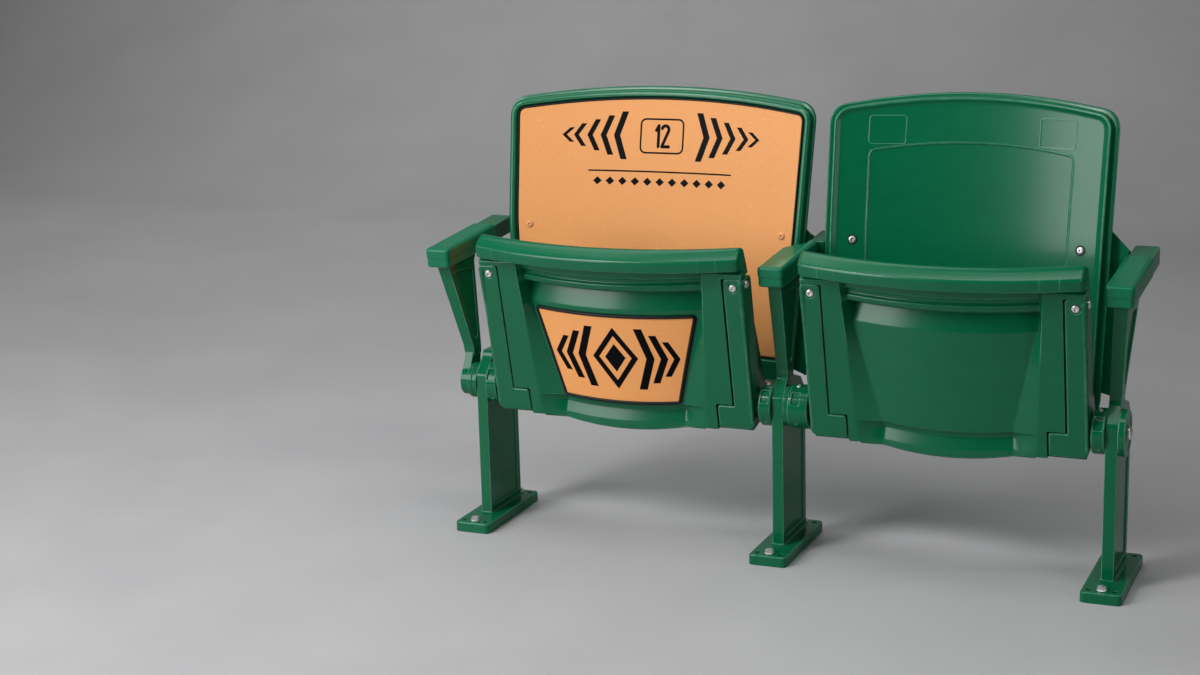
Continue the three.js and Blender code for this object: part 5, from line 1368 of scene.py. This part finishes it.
for node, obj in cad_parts.items():
    if obj.hide_render:
        continue
    wing = node.startswith("back_wing")
    obj.data.materials.clear()
    obj.data.materials.append(MATERIALS["cast_green" if wing else "spring_steel" if "spring" in node else "stainless"])
    if wing:
        mod = obj.modifiers.new("edge", "BEVEL")
        mod.width, mod.segments, mod.limit_method, mod.angle_limit = 0.0009, 2, "ANGLE", math.radians(35)

# Studio, in metres

SWEEP_WIDE, SWEEP_FROM, SWEEP_BACK, SWEEP_R, SWEEP_TOP = 9, -9.0, 3.2, 2.2, 7.0

t, b = material("studio_floor", specular=0.35)
at = t.place()
cloud = t.noise(at, 2.2, 6.0, 0.62)
surface(t, b, t.mix(t.remap(cloud, 0.3, 0.7), srgb(180, 180, 182), srgb(187, 187, 188)),
        t.remap(cloud, 0.3, 0.7, 0.42, 0.58), t.bump(t.noise(at, 40.0, 5.0, 0.65), 0.0006, 0.25))

# The floor sweeps up into the backdrop along a quarter circle
run = [(SWEEP_FROM, 0.0), (SWEEP_BACK, 0.0)]
run += [(SWEEP_BACK + SWEEP_R * math.sin(a), SWEEP_R - SWEEP_R * math.cos(a)) for a in np.linspace(0.05, QUARTER, 18)]
run += [(SWEEP_BACK + SWEEP_R, SWEEP_TOP)]
pts = np.array([[(x, y, h) for x in np.linspace(-SWEEP_WIDE, SWEEP_WIDE, 5)] for y, h in run])
mesh = bpy.data.meshes.new("studio_sweep")
mesh.from_pydata(pts.reshape(-1, 3).tolist(), [], quads(*pts.shape[:2]))
mesh.polygons.foreach_set("use_smooth", np.ones(len(mesh.polygons), bool))
mesh.materials.append(MATERIALS["studio_floor"])
place("studio_sweep", mesh)

# Lamps: place, target, size and power
LAMPS = {"key_left": ((-2.3, -3.1, 1.75), (-0.2, 0, 0.4), (1.7, 2.1), 82),
         "key_small": ((-1.7, -2.5, 3.1), (-0.1, 0, 0.4), (0.8, 0.8), 46),
         "side_left": ((-3.6, -1.0, 2.4), (0, 0, 0.3), (1.6, 1.6), 26),
         "top_mid": ((0.5, -0.7, 3.2), (0.4, -0.1, 0.2), (2.8, 1.0), 33),
         "top_back": ((-1.1, 0.8, 3.1), (-0.1, 0, 0.3), (2.2, 1.2), 18),
         "fill_right": ((3.2, -2.0, 1.5), (0.2, 0, 0.4), (0.8, 2.0), 13),
         "backdrop_left": ((-3.0, 2.4, 3.0), (-3.6, 5.2, 0.3), (2.8, 1.6), 40)}
for name, (at, target, size, power) in LAMPS.items():
    data = bpy.data.lights.new(name, "AREA")
    data.shape, data.size, data.size_y, data.energy = "RECTANGLE", *size, power
    lamp = place(name, data)
    lamp.location = at
    lamp.rotation_euler = (Vector(target) - Vector(at)).to_track_quat("-Z", "Y").to_euler()

world = bpy.data.worlds.new("studio")
world.use_nodes = True
colour, strength = world.node_tree.nodes["Background"].inputs[:2]
colour.default_value, strength.default_value = (0.78, 0.80, 0.83, 1), 0.03
bpy.context.scene.world = world
bpy.context.scene.view_settings.view_transform = "Standard"

# Camera at the photograph's angle: turn round the row, pitch down and roll, with its lens in pixels
CAMERA_AT = (1.1955, -3.5891, 1.2960)
AZIMUTH, PITCH_DOWN, ROLL = math.radians(23.64), math.radians(13.11), math.radians(-1.554)
LENS_PIXELS, IMAGE_PIXELS, SENSOR = 2083, 1200, 36

ahead = Vector((-math.sin(AZIMUTH) * math.cos(PITCH_DOWN), math.cos(AZIMUTH) * math.cos(PITCH_DOWN),
                -math.sin(PITCH_DOWN)))
level = Vector((math.cos(AZIMUTH), math.sin(AZIMUTH), 0))
above = level.cross(ahead)
right = level * math.cos(ROLL) + above * math.sin(ROLL)
up = above * math.cos(ROLL) - level * math.sin(ROLL)
data = bpy.data.cameras.new("camera")
data.lens, data.sensor_width = SENSOR * LENS_PIXELS / IMAGE_PIXELS, SENSOR
camera = place("camera", data)
camera.matrix_world = Matrix.Translation(CAMERA_AT) @ Matrix((right, up, -ahead)).transposed().to_4x4()
bpy.context.scene.camera = camera
